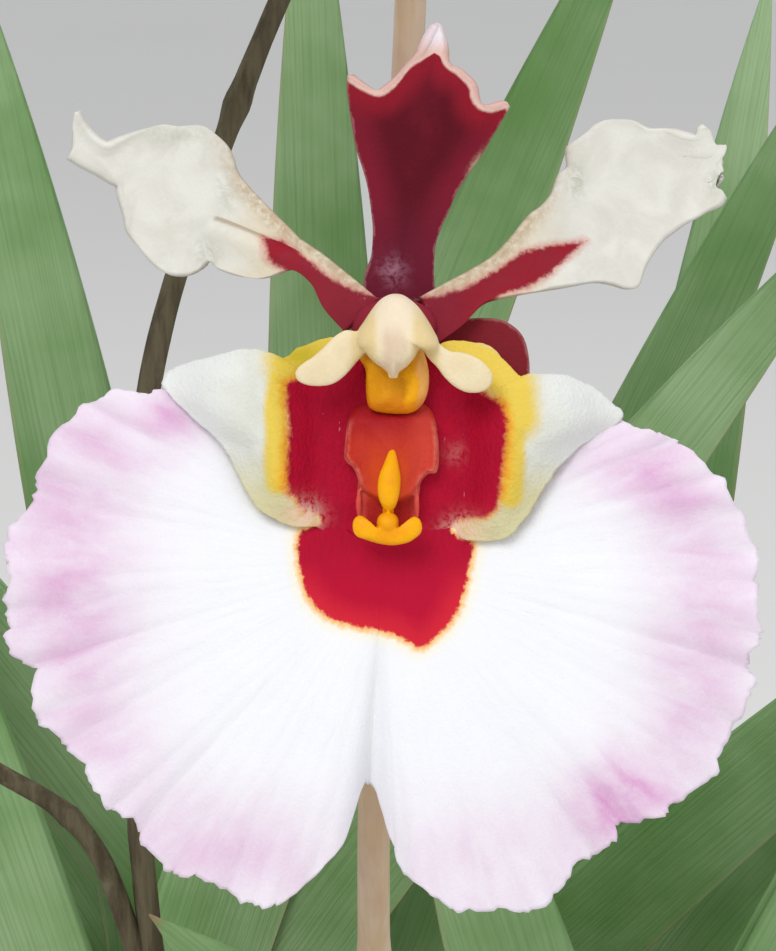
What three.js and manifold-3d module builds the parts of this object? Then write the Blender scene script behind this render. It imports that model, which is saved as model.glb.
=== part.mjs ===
// A potted tolumnia orchid: a small clay pot of bark, five fans of sword-shaped leaves, a spent flower
// stalk and a flowering spike with five blooms and a few buds. Millimetres, +Z up. The origin is the
// middle of the pot's flat base, and the front bloom looks towards -Y.
import * as THREE from "three";
import { mergeVertices } from "three/addons/utils/BufferGeometryUtils.js";
import Module from "manifold-3d";

const wasm = await Module();
wasm.setup();

// Driving dimensions of the pot and its filling.
const POT_HEIGHT = 66;
const POT_BASE_RADIUS = 28;
const POT_TOP_RADIUS = 37;
const POT_WALL = 4.2;
const POT_FLOOR = 4.8;
const POT_BAND_HEIGHT = 15;
const POT_BAND_OUT = 2.6;
const POT_SIDES = 32;
const DRAIN_HOLE_RADIUS = 2.5;
const DRAIN_HOLE_CIRCLE = 14;
const DRAIN_HOLES = 5;
const MIX_TOP = 54;
const MIX_GAP = 0.35;
const CHIP_COUNT = 21;
const CHIP_LENGTH = 12;

// Driving dimensions of the plant.
const LEAF_BASE_Z = 52;
const LEAF_THICKNESS = 2.3;
const LEAF_STEPS = 6;
const STALK_RADIUS = 0.95;
const PEDICEL_RADIUS = 0.6;
const SHEET_THICKNESS = 0.7;
const SEAT_GAP = 0.35;
const HOLE_CLEARANCE = 1.4;

// The front bloom is 32 mm across, and faces the viewer, who looks 12 degrees down on it.
const FRONT_BLOOM = [0, -60, 138];
const FRONT_LOOK_UP = 12;

const DEGREE = Math.PI / 180;

// A repeatable random source from a seed.
function randomFrom(seed) {
  let state = seed >>> 0;
  return () => {
    state = (state + 0x6d2b79f5) >>> 0;
    let t = state;
    t = Math.imul(t ^ (t >>> 15), t | 1);
    t ^= t + Math.imul(t ^ (t >>> 7), t | 61);
    return ((t ^ (t >>> 14)) >>> 0) / 4294967296;
  };
}

const clamp01 = (x) => Math.min(1, Math.max(0, x));
const smooth = (a, b, x) => {
  const t = clamp01((x - a) / (b - a));
  return t * t * (3 - 2 * t);
};
const bell = (x, width) => Math.exp(-((x / width) ** 2));

// A solid from geometry. Triangles that merging leaves without area are dropped.
function solidOf(geometry) {
  const plain = geometry.index ? geometry.toNonIndexed() : geometry;
  const bare = new THREE.BufferGeometry().setAttribute("position", plain.getAttribute("position"));
  const merged = mergeVertices(bare, 1e-4);
  const kept = [];
  const index = merged.index.array;
  for (let i = 0; i < index.length; i += 3) {
    const [a, b, c] = [index[i], index[i + 1], index[i + 2]];
    if (a !== b && b !== c && a !== c) kept.push(a, b, c);
  }
  return new wasm.Manifold(
    new wasm.Mesh({
      numProp: 3,
      vertProperties: merged.attributes.position.array,
      triVerts: new Uint32Array(kept),
    }),
  );
}

// A solid from a flat list of triangle corners, turned outwards if the list faces inwards.
function solidFrom(corners) {
  let volume = 0;
  const [a, b, c] = [new THREE.Vector3(), new THREE.Vector3(), new THREE.Vector3()];
  for (let i = 0; i < corners.length; i += 9) {
    a.fromArray(corners, i);
    b.fromArray(corners, i + 3);
    c.fromArray(corners, i + 6);
    volume += a.dot(b.cross(c));
  }
  const facing = corners.slice();
  for (let i = 0; volume < 0 && i < corners.length; i += 9) {
    for (let k = 0; k < 3; k++) {
      facing[i + 3 + k] = corners[i + 6 + k];
      facing[i + 6 + k] = corners[i + 3 + k];
    }
  }
  const geometry = new THREE.BufferGeometry();
  return solidOf(geometry.setAttribute("position", new THREE.Float32BufferAttribute(facing, 3)));
}

function geometryOf(solid) {
  const mesh = solid.getMesh();
  const positions = new Float32Array(mesh.numVert * 3);
  for (let i = 0; i < mesh.numVert; i++) {
    positions.set(mesh.vertProperties.subarray(i * mesh.numProp, i * mesh.numProp + 3), i * 3);
  }
  const geometry = new THREE.BufferGeometry();
  geometry.setAttribute("position", new THREE.BufferAttribute(positions, 3));
  geometry.setIndex(new THREE.BufferAttribute(mesh.triVerts, 1));
  geometry.computeVertexNormals();
  return geometry;
}

function fuse(solids) {
  return solids.reduce((whole, one) => whole.add(one));
}

// The largest body of a solid: loose scraps that a cut leaves are dropped.
function largestBody(solid) {
  const bodies = solid.decompose();
  return bodies.reduce((big, one) => (one.volume() > big.volume() ? one : big));
}

// A closed solid through rings of points.
function loft(rings) {
  const triangles = [];
  const put = (...points) => points.forEach((p) => triangles.push(p.x, p.y, p.z));
  const count = rings[0].length;
  for (let i = 0; i + 1 < rings.length; i++) {
    for (let k = 0; k < count; k++) {
      const [a, b] = [rings[i][k], rings[i][(k + 1) % count]];
      const [c, d] = [rings[i + 1][k], rings[i + 1][(k + 1) % count]];
      put(a, b, d);
      put(a, d, c);
    }
  }
  const last = rings[rings.length - 1];
  for (let k = 1; k + 1 < count; k++) {
    put(rings[0][0], rings[0][k + 1], rings[0][k]);
    put(last[0], last[k], last[k + 1]);
  }
  return solidFrom(triangles);
}

// A petal-like sheet of even thickness in y. surface(u, v) gives its middle. A wrapped sheet is a disc:
// u runs round it, and v from its hub to its margin.
function sheet(surface, uSteps, vSteps, wrapped) {
  const triangles = [];
  const half = SHEET_THICKNESS / 2;
  const at = (i, j, side) => {
    const u = wrapped ? (i % uSteps) / uSteps : i / uSteps;
    const p = surface(u, j / vSteps);
    return [p[0], p[1] + side * half, p[2]];
  };
  const quad = (a, b, c, d) => triangles.push(...a, ...b, ...c, ...a, ...c, ...d);
  for (let i = 0; i < uSteps; i++) {
    for (let j = 0; j < vSteps; j++) {
      quad(at(i, j, -1), at(i + 1, j, -1), at(i + 1, j + 1, -1), at(i, j + 1, -1));
      quad(at(i, j, 1), at(i, j + 1, 1), at(i + 1, j + 1, 1), at(i + 1, j, 1));
    }
    quad(at(i, vSteps, -1), at(i + 1, vSteps, -1), at(i + 1, vSteps, 1), at(i, vSteps, 1));
    if (!wrapped) quad(at(i + 1, 0, -1), at(i, 0, -1), at(i, 0, 1), at(i + 1, 0, 1));
  }
  for (let j = 0; j < vSteps && !wrapped; j++) {
    quad(at(0, j, -1), at(0, j + 1, -1), at(0, j + 1, 1), at(0, j, 1));
    quad(at(uSteps, j + 1, -1), at(uSteps, j, -1), at(uSteps, j, 1), at(uSteps, j + 1, 1));
  }
  return solidFrom(triangles);
}

// A tapered tube along a curve. radius(t) is its radius at a share t of the way.
function taperedTube(curve, radius, steps, sides) {
  const frames = curve.computeFrenetFrames(steps, false);
  const rings = [];
  for (let i = 0; i <= steps; i++) {
    const centre = curve.getPointAt(i / steps);
    const r = radius(i / steps);
    rings.push(
      Array.from({ length: sides }, (_, k) => {
        const angle = (k / sides) * 2 * Math.PI;
        return centre
          .clone()
          .addScaledVector(frames.normals[i], r * Math.cos(angle))
          .addScaledVector(frames.binormals[i], r * Math.sin(angle));
      }),
    );
  }
  return loft(rings);
}

// An ellipsoid turned in the bloom's own plane.
function lump([x, y, z], [rx, ry, rz], turn = 0, sides = 8) {
  const geometry = new THREE.SphereGeometry(1, sides, Math.max(4, sides - 2));
  geometry.scale(rx, ry, rz);
  geometry.rotateY(turn * DEGREE);
  geometry.translate(x, y, z);
  return solidOf(geometry);
}

const points3 = (list) => list.map(([x, z]) => new THREE.Vector3(x, 0, z));
const curveThrough = (list, closed = false) =>
  new THREE.CatmullRomCurve3(Array.isArray(list[0]) ? points3(list) : list, closed, "catmullrom", 0.5);

// A blade between rows of points that run across it, from its base to its tip.
function bladeSurface(rows, depth) {
  const across = rows.map((row) => curveThrough(row));
  return (u, v) => {
    const p = curveThrough(across.map((curve) => curve.getPoint(u))).getPoint(v);
    return [p.x, depth(u, v), p.z];
  };
}

// A lobe that fans out from a hub to a closed margin.
function fanSurface(hub, margin, depth) {
  const edge = curveThrough(margin, true);
  return (u, v) => {
    const p = edge.getPoint(u);
    const x = hub[0] + v * (p.x - hub[0]);
    const z = hub[1] + v * (p.z - hub[1]);
    return [x, depth(x, z, v, Math.atan2(z - hub[1], x - hub[0])), z];
  };
}

// The outlines of the front bloom as x, z pairs, from its lip's root. x is to the viewer's right.
const zip = (a, b) => a.map((p, i) => [p, b[i]]);
const UPPER_SEPAL = [
  ...zip(
    [[-0.9, 4.4], [-0.7, 5.9], [-0.6, 7.5], [-0.9, 9.2], [-1.3, 10.9], [-1.6, 12.5]],
    [[1.7, 4.4], [1.8, 5.9], [2.1, 7.6], [2.8, 9.1], [3.9, 10.9], [4.7, 12.1]],
  ),
  [[-1.7, 14.0], [-0.6, 13.5], [0.9, 14.4], [1.9, 16.0], [2.5, 14.5], [3.8, 13.2], [5.0, 12.6]],
];
const LEFT_PETAL = zip(
  [
    [-0.5, 4.3], [-1.6, 5.2], [-2.9, 6.2], [-3.8, 6.8], [-4.9, 7.9], [-5.9, 8.9], [-6.7, 10.1], [-7.2, 11.0],
    [-8.0, 11.7], [-9.2, 11.8], [-10.3, 11.7], [-11.2, 11.3], [-12.1, 11.0], [-12.7, 11.5], [-13.2, 12.2],
  ],
  [
    [-1.9, 2.9], [-2.8, 3.9], [-3.4, 5.0], [-4.2, 5.5], [-5.5, 5.2], [-6.5, 5.3], [-7.6, 5.9], [-8.3, 5.4],
    [-9.3, 5.3], [-10.3, 5.9], [-11.0, 6.9], [-11.5, 8.1], [-11.6, 9.2], [-12.7, 10.0], [-13.8, 10.3],
  ],
);
const RIGHT_PETAL = zip(
  [
    [1.3, 4.4], [2.4, 5.0], [3.4, 5.5], [4.4, 6.1], [5.2, 6.9], [6.2, 7.9], [6.8, 8.8], [7.3, 9.7],
    [7.6, 10.7], [8.2, 11.3], [9.1, 12.0], [10.3, 11.9], [11.8, 11.6], [13.1, 11.2], [13.3, 11.7],
  ],
  [
    [2.0, 2.4], [3.1, 3.2], [4.0, 4.1], [5.0, 4.4], [6.0, 4.6], [7.3, 4.8], [8.5, 4.9], [9.7, 4.9],
    [10.6, 4.8], [10.8, 5.5], [11.3, 6.3], [11.9, 7.0], [12.8, 7.7], [13.8, 8.1], [14.4, 8.6],
  ],
);
const RIGHT_SEPAL = zip(
  [[0.6, 3.6], [2.4, 3.4], [3.8, 3.5], [4.8, 3.4], [5.6, 2.8], [5.9, 1.8], [5.9, 0.6]],
  [[0.2, 1.5], [1.5, 0.6], [2.8, 0.0], [3.8, -0.5], [4.7, -0.6], [5.3, -0.3], [5.7, 0.2]],
);
const LEFT_SEPAL = zip(
  [[-0.4, 3.2], [-1.7, 2.4], [-2.9, 0.9], [-3.7, -0.6], [-3.8, -2.1], [-3.3, -3.2]],
  [[0.4, 2.1], [0.2, 0.6], [-0.3, -0.9], [-0.9, -2.1], [-1.9, -3.0], [-2.7, -3.5]],
);
const MIDLOBE_HUB = [-0.2, -6.8];
const MIDLOBE_MARGIN = [
  [-6.8, -1.8], [-8.3, -0.4], [-9.7, 0.3], [-10.7, 0.2], [-11.8, 0.3], [-13.0, -0.3], [-14.3, -1.5],
  [-15.0, -3.3], [-15.1, -4.2], [-16.2, -5.6], [-16.4, -6.7], [-16.2, -7.5], [-16.4, -8.6], [-16.2, -9.6],
  [-16.4, -10.3], [-15.8, -11.0], [-15.1, -11.5], [-15.2, -13.3], [-14.1, -14.4], [-13.0, -15.7],
  [-12.4, -17.0], [-11.6, -17.6], [-10.9, -17.9], [-10.6, -18.7], [-9.7, -19.8], [-8.9, -20.3],
  [-7.9, -20.4], [-6.3, -21.3], [-5.4, -21.6], [-4.5, -21.3], [-2.9, -19.9], [-2.1, -18.7], [-1.4, -16.5],
  [-1.0, -16.3], [-0.5, -16.5], [0.3, -19.0], [0.8, -20.2], [2.4, -21.5], [3.3, -21.8], [4.7, -21.7],
  [6.0, -21.8], [7.1, -21.0], [8.0, -19.7], [9.5, -18.9], [9.8, -18.0], [11.5, -17.8], [12.1, -17.2],
  [13.8, -16.0], [14.1, -14.9], [15.0, -13.3], [15.5, -12.1], [15.2, -11.2], [15.7, -10.3], [15.8, -9.6],
  [15.6, -8.1], [15.6, -6.5], [14.7, -4.4], [14.0, -3.3], [12.6, -2.1], [11.7, -1.5], [10.7, -1.3],
  [9.3, -1.0], [7.1, -1.8], [3.7, -3.8], [1.7, -4.4], [-0.2, -4.7], [-2.1, -4.4], [-3.8, -3.8],
];
const SIDELOBE_HUB = [0.1, -1.8];
const SIDELOBE_MARGIN = [
  [0.1, 0.3], [-1.0, 0.7], [-1.5, 2.1], [-2.4, 2.6], [-3.8, 2.2], [-4.6, 1.7], [-5.4, 2.0], [-6.2, 2.1],
  [-7.8, 1.7], [-9.1, 1.3], [-9.7, 0.6], [-8.5, -0.5], [-7.2, -1.7], [-6.6, -2.8], [-5.8, -4.4],
  [-4.9, -5.1], [-4.1, -5.4], [-3.0, -5.5], [-2.1, -6.4], [0.1, -7.1], [2.1, -6.5], [2.8, -5.9],
  [3.6, -6.0], [4.9, -5.9], [5.7, -5.1], [6.6, -3.6], [7.2, -2.7], [8.3, -1.7], [9.9, -0.7], [9.1, 0.1], [7.6, 0.9], [6.3, 1.0],
  [5.5, 0.9], [4.4, 2.1], [3.4, 2.4], [2.1, 2.3], [1.3, 0.7],
];

// How far each sheet stands back, in y, from the bloom's face.
const midlobeDepth = (phase) => (x, z, v, angle) => {
  const crease = 0.4 * bell(x + 0.1 - (z + 6) * 0.09, 0.8) * smooth(-10, -13, z);
  const pleats = 0.3 * v ** 3 * (Math.sin(11 * angle + phase) + 0.6 * Math.sin(19 * angle + 2 * phase));
  return 1.5 * v ** 2.2 + crease + pleats;
};
const sidelobeDepth = (x, z) => {
  const side = Math.abs(x);
  const proud = 0.95 * smooth(2.8, 5.2, side) * smooth(3.5, -1.5, z);
  const back = 1.7 * smooth(6.6, 9.6, side);
  const root = 0.45 * smooth(-4.6, -6.6, z) * smooth(4.2, 2.4, side);
  return -0.4 - proud + back + root;
};

// Steps of a sheet: the front bloom has the full count and the others a share of it.
const stepsOf = (count, detail) => Math.max(2, Math.round(count * detail));

// The three sepals on the bloom's hub: the upper one with three points, and two that hang behind the lip.
function sepals(detail) {
  const upper = (u, v) => 2.3 + 1.2 * v - 2.2 * v * v + 0.5 * (2 * u - 1) ** 2 * v;
  return fuse([
    lump([0.1, 2.9, 3.2], [1.7, 1.3, 1.6], 0, 6),
    sheet(bladeSurface(UPPER_SEPAL, upper), 6, stepsOf(7, detail), false),
    sheet(bladeSurface(RIGHT_SEPAL, (u, v) => 2.3 + 0.5 * v), stepsOf(3, detail), stepsOf(6, detail), false),
    sheet(bladeSurface(LEFT_SEPAL, (u, v) => 2.3 + 0.7 * v), stepsOf(3, detail), stepsOf(5, detail), false),
  ]);
}

// The two petals, joined behind the column. The left one has a fold above the lobe at its base.
function petals(detail) {
  const depth = (u, v) => 0.75 + 2.4 * Math.sin(v * 2.2) - 0.5 * (2 * u - 1) ** 2 * v - 1.1 * v ** 3;
  const folded = (u, v) => depth(u, v) - 0.9 * smooth(0.75, 1, u) * bell(v - 0.32, 0.11);
  return fuse([
    lump([0.2, 0.62, 3.4], [1.7, 0.55, 1.2], 0, 6),
    sheet(bladeSurface(LEFT_PETAL, folded), stepsOf(4, detail), stepsOf(15, detail), false),
    sheet(bladeSurface(RIGHT_PETAL, depth), stepsOf(4, detail), stepsOf(15, detail), false),
  ]);
}

// The lip: a broad blade with two lobes at its end, and the side lobes in front of its root.
function lip(detail, phase) {
  const blade = fanSurface(MIDLOBE_HUB, MIDLOBE_MARGIN, midlobeDepth(phase));
  const shoulders = fanSurface(SIDELOBE_HUB, SIDELOBE_MARGIN, sidelobeDepth);
  return fuse([
    sheet(blade, stepsOf(68, detail), stepsOf(4, detail), true),
    sheet(shoulders, stepsOf(37, detail), stepsOf(3, detail), true),
  ]);
}

// The warty crest in front of the lip's root: a broad body, a ridge down its middle and a tooth with
// three prongs. Each lump is a centre and its radii.
const CREST_LUMPS = [
  [[0.05, -1.2, -2.4], [1.95, 0.95, 1.8]],
  [[0, -1.9, -3.4], [0.55, 0.95, 1.5]],
  [[-0.1, -1.6, -4.9], [0.7, 1.2, 0.9]],
  [[-1.1, -1.9, -5.5], [0.8, 0.7, 0.5]],
  [[0.9, -1.9, -5.5], [0.8, 0.7, 0.5]],
];
const CREST_BACK = -1.08;

function crest(detail) {
  const sides = detail < 1 ? 5 : 7;
  const behind = new THREE.BoxGeometry(10, 10, 14).translate(0, CREST_BACK + 5, -3);
  return fuse(CREST_LUMPS.map(([centre, radii]) => lump(centre, radii, 0, sides))).subtract(solidOf(behind));
}

// The column: its neck, the anther cap, two wings and the pad below them. Each lump has its turn as well.
const COLUMN_LUMPS = [
  [[0.3, -2.0, 2.6], [1.45, 1.75, 1.5], 0],
  [[0.35, -3.0, 2.75], [1.65, 1.6, 1.9], 0],
  [[-2.35, -2.6, 1.6], [1.9, 0.55, 0.7], -24],
  [[2.9, -2.6, 1.25], [1.9, 0.55, 0.8], 16],
  [[0.35, -2.0, 0.5], [1.4, 0.75, 0.95], 0],
];

function column(detail) {
  const sides = detail < 1 ? 6 : 7;
  return fuse(COLUMN_LUMPS.map(([centre, radii, turn]) => lump(centre, radii, turn, sides)));
}

// Where each bloom sits: its lip's root, the way it faces (degrees left or right, and up), and its roll.
const BLOOMS = [
  { at: FRONT_BLOOM, turn: 0, up: FRONT_LOOK_UP, roll: 0, size: 1, mirror: false, phase: 0.4 },
  { at: [-19, -62, 187], turn: -16, up: 8, roll: -7, size: 0.97, mirror: true, phase: 1.7 },
  { at: [20, -74, 207], turn: 18, up: 4, roll: 5, size: 0.96, mirror: false, phase: 2.9 },
  { at: [-18, -87, 228], turn: -20, up: -2, roll: 3, size: 0.93, mirror: false, phase: 4.1 },
  { at: [17, -101, 246], turn: 15, up: -6, roll: -9, size: 0.88, mirror: true, phase: 5.2 },
];
const PEDICEL_SEAT = new THREE.Vector3(0, 4.2 + SEAT_GAP, 3.2);

// The bloom's own axes: x to its right as seen from the front, y back, z up.
function bloomMatrix({ at, turn, up, roll, size }) {
  const turned = new THREE.Matrix4().makeRotationZ(turn * DEGREE);
  const tipped = new THREE.Matrix4().makeRotationX(-up * DEGREE);
  const rolled = new THREE.Matrix4().makeRotationY(roll * DEGREE);
  const sized = new THREE.Matrix4().makeScale(size, size, size);
  const placed = new THREE.Matrix4().setPosition(...at);
  return placed.multiply(turned).multiply(tipped).multiply(rolled).multiply(sized);
}

// The flowering stalk leaves the pot's front, passes behind the front bloom and arches on over it.
const SPIKE_ROUTE = [
  [3.2, -14, 44], [2.6, -17, 58], [1.2, -26, 74], [-0.4, -38, 95], [-0.8, -44.6, 112], [-0.2, -46.5, 132],
  [0.9, -47, 153], [1.4, -51, 172], [1.2, -58, 192], [0.4, -68, 211], [-0.6, -80, 229], [-1.6, -93, 244],
  [-2.4, -107, 256], [-2.8, -120, 264],
].map((p) => new THREE.Vector3(...p));
const PEDICEL_LEAVES_AT = [0.4, 0.585, 0.665, 0.745, 0.82];
const BUDS = [
  { along: 0.9, out: [-7.5, -5, 3], size: 1 },
  { along: 0.95, out: [6.5, -5, 2.5], size: 0.85 },
  { along: 0.985, out: [-5, -4.5, 2.5], size: 0.7 },
  { along: 1.0, out: [2.5, -5.5, 1], size: 0.55 },
];
const BUD_LENGTH = 7.5;
const BUD_RADIUS = 2.1;
const BRACTS_AT = [0.13, 0.5];

function bud(root, out, size) {
  const tip = root.clone().add(new THREE.Vector3(...out));
  const heading = new THREE.Vector3(...out).normalize();
  const end = tip.clone().addScaledVector(heading, BUD_LENGTH * size);
  const droop = new THREE.Vector3(0, 0, -0.8 * size);
  const inside = tip.clone().addScaledVector(heading, 0.6);
  const stem = curveThrough([root, root.clone().lerp(tip, 0.5).add(droop), inside]);
  const body = curveThrough([tip, tip.clone().lerp(end, 0.5), end]);
  const swell = (t) => BUD_RADIUS * size * Math.sin(Math.PI * (0.12 + t * 0.84)) ** 0.8;
  return fuse([taperedTube(stem, () => PEDICEL_RADIUS * 0.85, 2, 4), taperedTube(body, swell, 5, 6)]);
}

function spike() {
  const route = curveThrough(SPIKE_ROUTE);
  const thinning = (t) => STALK_RADIUS * (1 - 0.5 * t);
  const pieces = [taperedTube(route, thinning, 24, 6)];
  BLOOMS.forEach((bloom, i) => {
    const matrix = bloomMatrix(bloom);
    const seat = PEDICEL_SEAT.clone().applyMatrix4(matrix);
    const behind = PEDICEL_SEAT.clone().add(new THREE.Vector3(0, 5, -1.2)).applyMatrix4(matrix);
    const root = route.getPointAt(PEDICEL_LEAVES_AT[i]);
    const early = route.getPointAt(PEDICEL_LEAVES_AT[i] + 0.012).lerp(behind, 0.3);
    const ovary = (t) => PEDICEL_RADIUS * (1 + 0.75 * smooth(0.45, 0.9, t));
    pieces.push(taperedTube(curveThrough([root, early, behind, seat]), ovary, 6, 5));
    pieces.push(bract(route, PEDICEL_LEAVES_AT[i] - 0.008, behind));
  });
  BUDS.forEach(({ along, out, size }) => pieces.push(bud(route.getPointAt(along), out, size)));
  BRACTS_AT.forEach((along, i) =>
    pieces.push(bract(route, along, route.getPointAt(along).add(new THREE.Vector3(i % 2 ? 9 : -9, -6, 9)))),
  );
  return largestBody(fuse(pieces));
}

// A small pointed scale that clasps the stalk and leans towards a point.
function bract(route, along, towards) {
  const root = route.getPointAt(along);
  const lean = towards.clone().sub(root).normalize();
  const rise = route.getTangentAt(along).multiplyScalar(1.6).add(lean).normalize();
  const end = root.clone().addScaledVector(rise, 5.2);
  const line = curveThrough([root, root.clone().lerp(end, 0.5).addScaledVector(lean, 0.7), end]);
  return taperedTube(line, (t) => 0.3 + 1.2 * (1 - t) ** 0.8, 2, 4);
}

// A spent, dry flowering stalk that stands behind the front bloom, with one side branch and two old scales.
const OLD_STALK_ROUTE = [
  [-11, -15, 44], [-11.5, -16, 60], [-12.6, -19, 84], [-14.4, -21, 108], [-13.6, -21, 130], [-8.8, -18, 146],
  [-2.6, -15.5, 160], [3, -15, 170],
].map((p) => new THREE.Vector3(...p));
const OLD_BRANCH_AT = 0.37;
const OLD_BRANCH_ROUTE = [[-16.9, -21, 104.4], [-22.3, -21.5, 109.2], [-29, -23, 113], [-35, -25, 113.5]];
const OLD_STALK_RADIUS = 0.85;

function oldStalk() {
  const route = curveThrough(OLD_STALK_ROUTE);
  const fork = route.getPointAt(OLD_BRANCH_AT);
  const branch = curveThrough([fork, ...OLD_BRANCH_ROUTE.map((p) => new THREE.Vector3(...p))]);
  const away = new THREE.Vector3(-8, -4, 6);
  return fuse([
    taperedTube(route, (t) => OLD_STALK_RADIUS * (1 - 0.35 * t), 16, 6),
    taperedTube(branch, (t) => OLD_STALK_RADIUS * (0.8 - 0.3 * t), 6, 5),
    bract(route, 0.2, route.getPointAt(0.2).add(away)),
    bract(route, 0.55, route.getPointAt(0.55).sub(away)),
  ]);
}

// The leaf fans: where each stands, which way its flat side runs and how far it tips. Each leaf has its
// angle from the fan's middle and its length.
const FANS = [
  {
    at: [-3, 6], turn: 3, lean: 0, width: 8.6,
    leaves: [[-45, 82], [-27, 103], [-1, 112], [17, 104], [36, 90]],
  },
  {
    at: [-17.3, -5.2], turn: 4, lean: 0, width: 8.8,
    leaves: [[-49, 86], [-30, 99], [-13, 95], [16, 116], [27, 104]],
  },
  {
    at: [13.6, -6.6], turn: 23, lean: 11, width: 9,
    leaves: [[-31, 65], [-15, 72], [18, 99], [34, 87], [51, 80]],
  },
  {
    at: [-14.2, 15.7], turn: -3, lean: -4, width: 9,
    leaves: [[-37, 76], [-25, 88], [-8, 105], [12, 92], [29, 57]],
  },
  {
    at: [11.5, 13], turn: -20, lean: -19, width: 9,
    leaves: [[-42, 61], [-10, 85], [3, 106], [28, 86], [40, 73]],
  },
];

// One leaf, flattened sideways, in its fan's plane. Its outer edge is a keel and its inner edge is blunt.
const LEAF_SECTION = [[-0.5, 0], [0.02, -0.5], [0.42, -0.34], [0.5, 0], [0.42, 0.34], [0.02, 0.5]];

function leafWidth(t) {
  const swell = 0.56 + 0.44 * Math.sin((Math.min(t / 0.42, 1) * Math.PI) / 2);
  return swell * (t < 0.42 ? 1 : 1 - ((t - 0.42) / 0.58) ** 2.4);
}

function leafRings(angle, length, width, offset, order) {
  const rings = [];
  let [x, z] = [offset, 0];
  const side = angle < 0 ? -1 : 1;
  const last = length < 75 ? LEAF_STEPS - 1 : LEAF_STEPS;
  const step = length / last;
  for (let i = 0; i <= last; i++) {
    const t = i / last;
    const heading = angle * (0.15 + 1.05 * smooth(0, 0.4, t) + 0.3 * t) * DEGREE;
    const w = Math.max(0.7, width * leafWidth(t));
    const thick = LEAF_THICKNESS * (1.05 - 0.62 * t);
    const sideways = order * 0.4 + 1.6 * order * t * t;
    const ring = LEAF_SECTION.map(
      ([a, b]) =>
        new THREE.Vector3(
          x - side * a * w * Math.cos(heading),
          sideways + b * thick,
          z + side * a * w * Math.sin(heading),
        ),
    );
    rings.push(ring);
    x += step * Math.sin(heading);
    z += step * Math.cos(heading);
  }
  return rings;
}

function fanSolid({ leaves, width }) {
  const blades = leaves.map(([angle, length], i) =>
    loft(leafRings(angle, length, width, angle * 0.05, ((i * 2) % 3) - 1)),
  );
  return largestBody(fuse([fanStub(0), ...blades]));
}

// The short stem under a fan, or, grown by a gap, the hole that it stands in.
function fanStub(gap) {
  const height = 11 + (gap > 0 ? 20 : 0);
  const stub = new THREE.CylinderGeometry(1, 1, height, 10).rotateX(Math.PI / 2);
  stub.scale(4.6 + gap, 2.4 + gap, 1).translate(0, 0, height / 2 - 7 - (gap > 0 ? SEAT_GAP : 0));
  return solidOf(stub);
}

function fanMatrix({ at, turn, lean }) {
  const placed = new THREE.Matrix4().setPosition(...at, LEAF_BASE_Z);
  const turned = new THREE.Matrix4().makeRotationZ(turn * DEGREE);
  const leaned = new THREE.Matrix4().makeRotationX(lean * DEGREE);
  return placed.multiply(turned).multiply(leaned);
}

// The pot: a turned clay body with a rolled band, and small drain holes round the middle of its base.
function pot() {
  const inner = POT_TOP_RADIUS - POT_WALL + POT_BAND_OUT;
  const profile = [
    [0, 0], [POT_BASE_RADIUS - 1, 0], [POT_BASE_RADIUS, 1],
    [POT_TOP_RADIUS - 1.2, POT_HEIGHT - POT_BAND_HEIGHT],
    [POT_TOP_RADIUS + POT_BAND_OUT, POT_HEIGHT - POT_BAND_HEIGHT + 1],
    [POT_TOP_RADIUS + POT_BAND_OUT + 0.6, POT_HEIGHT - 1.4],
    [POT_TOP_RADIUS + POT_BAND_OUT - 0.6, POT_HEIGHT], [inner + 0.9, POT_HEIGHT], [inner, POT_HEIGHT - 1.2],
    [POT_BASE_RADIUS - POT_WALL, POT_FLOOR], [0, POT_FLOOR],
  ].map(([r, z]) => new THREE.Vector2(r, z));
  const body = solidOf(new THREE.LatheGeometry(profile, POT_SIDES).rotateX(Math.PI / 2));
  const holes = Array.from({ length: DRAIN_HOLES }, (_, i) => {
    const angle = (i / DRAIN_HOLES) * 2 * Math.PI;
    const hole = new THREE.CylinderGeometry(DRAIN_HOLE_RADIUS, DRAIN_HOLE_RADIUS, 4 * POT_WALL, 10);
    hole.rotateX(Math.PI / 2).translate(DRAIN_HOLE_CIRCLE, 0, 0).rotateZ(angle);
    return solidOf(hole);
  });
  return body.subtract(fuse(holes));
}

// The radius of the pot's inside at a height.
function potInnerRadius(z) {
  const inner = POT_TOP_RADIUS - POT_WALL + POT_BAND_OUT;
  const t = (z - POT_FLOOR) / (POT_HEIGHT - 1.2 - POT_FLOOR);
  return POT_BASE_RADIUS - POT_WALL + t * (inner - POT_BASE_RADIUS + POT_WALL);
}

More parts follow.
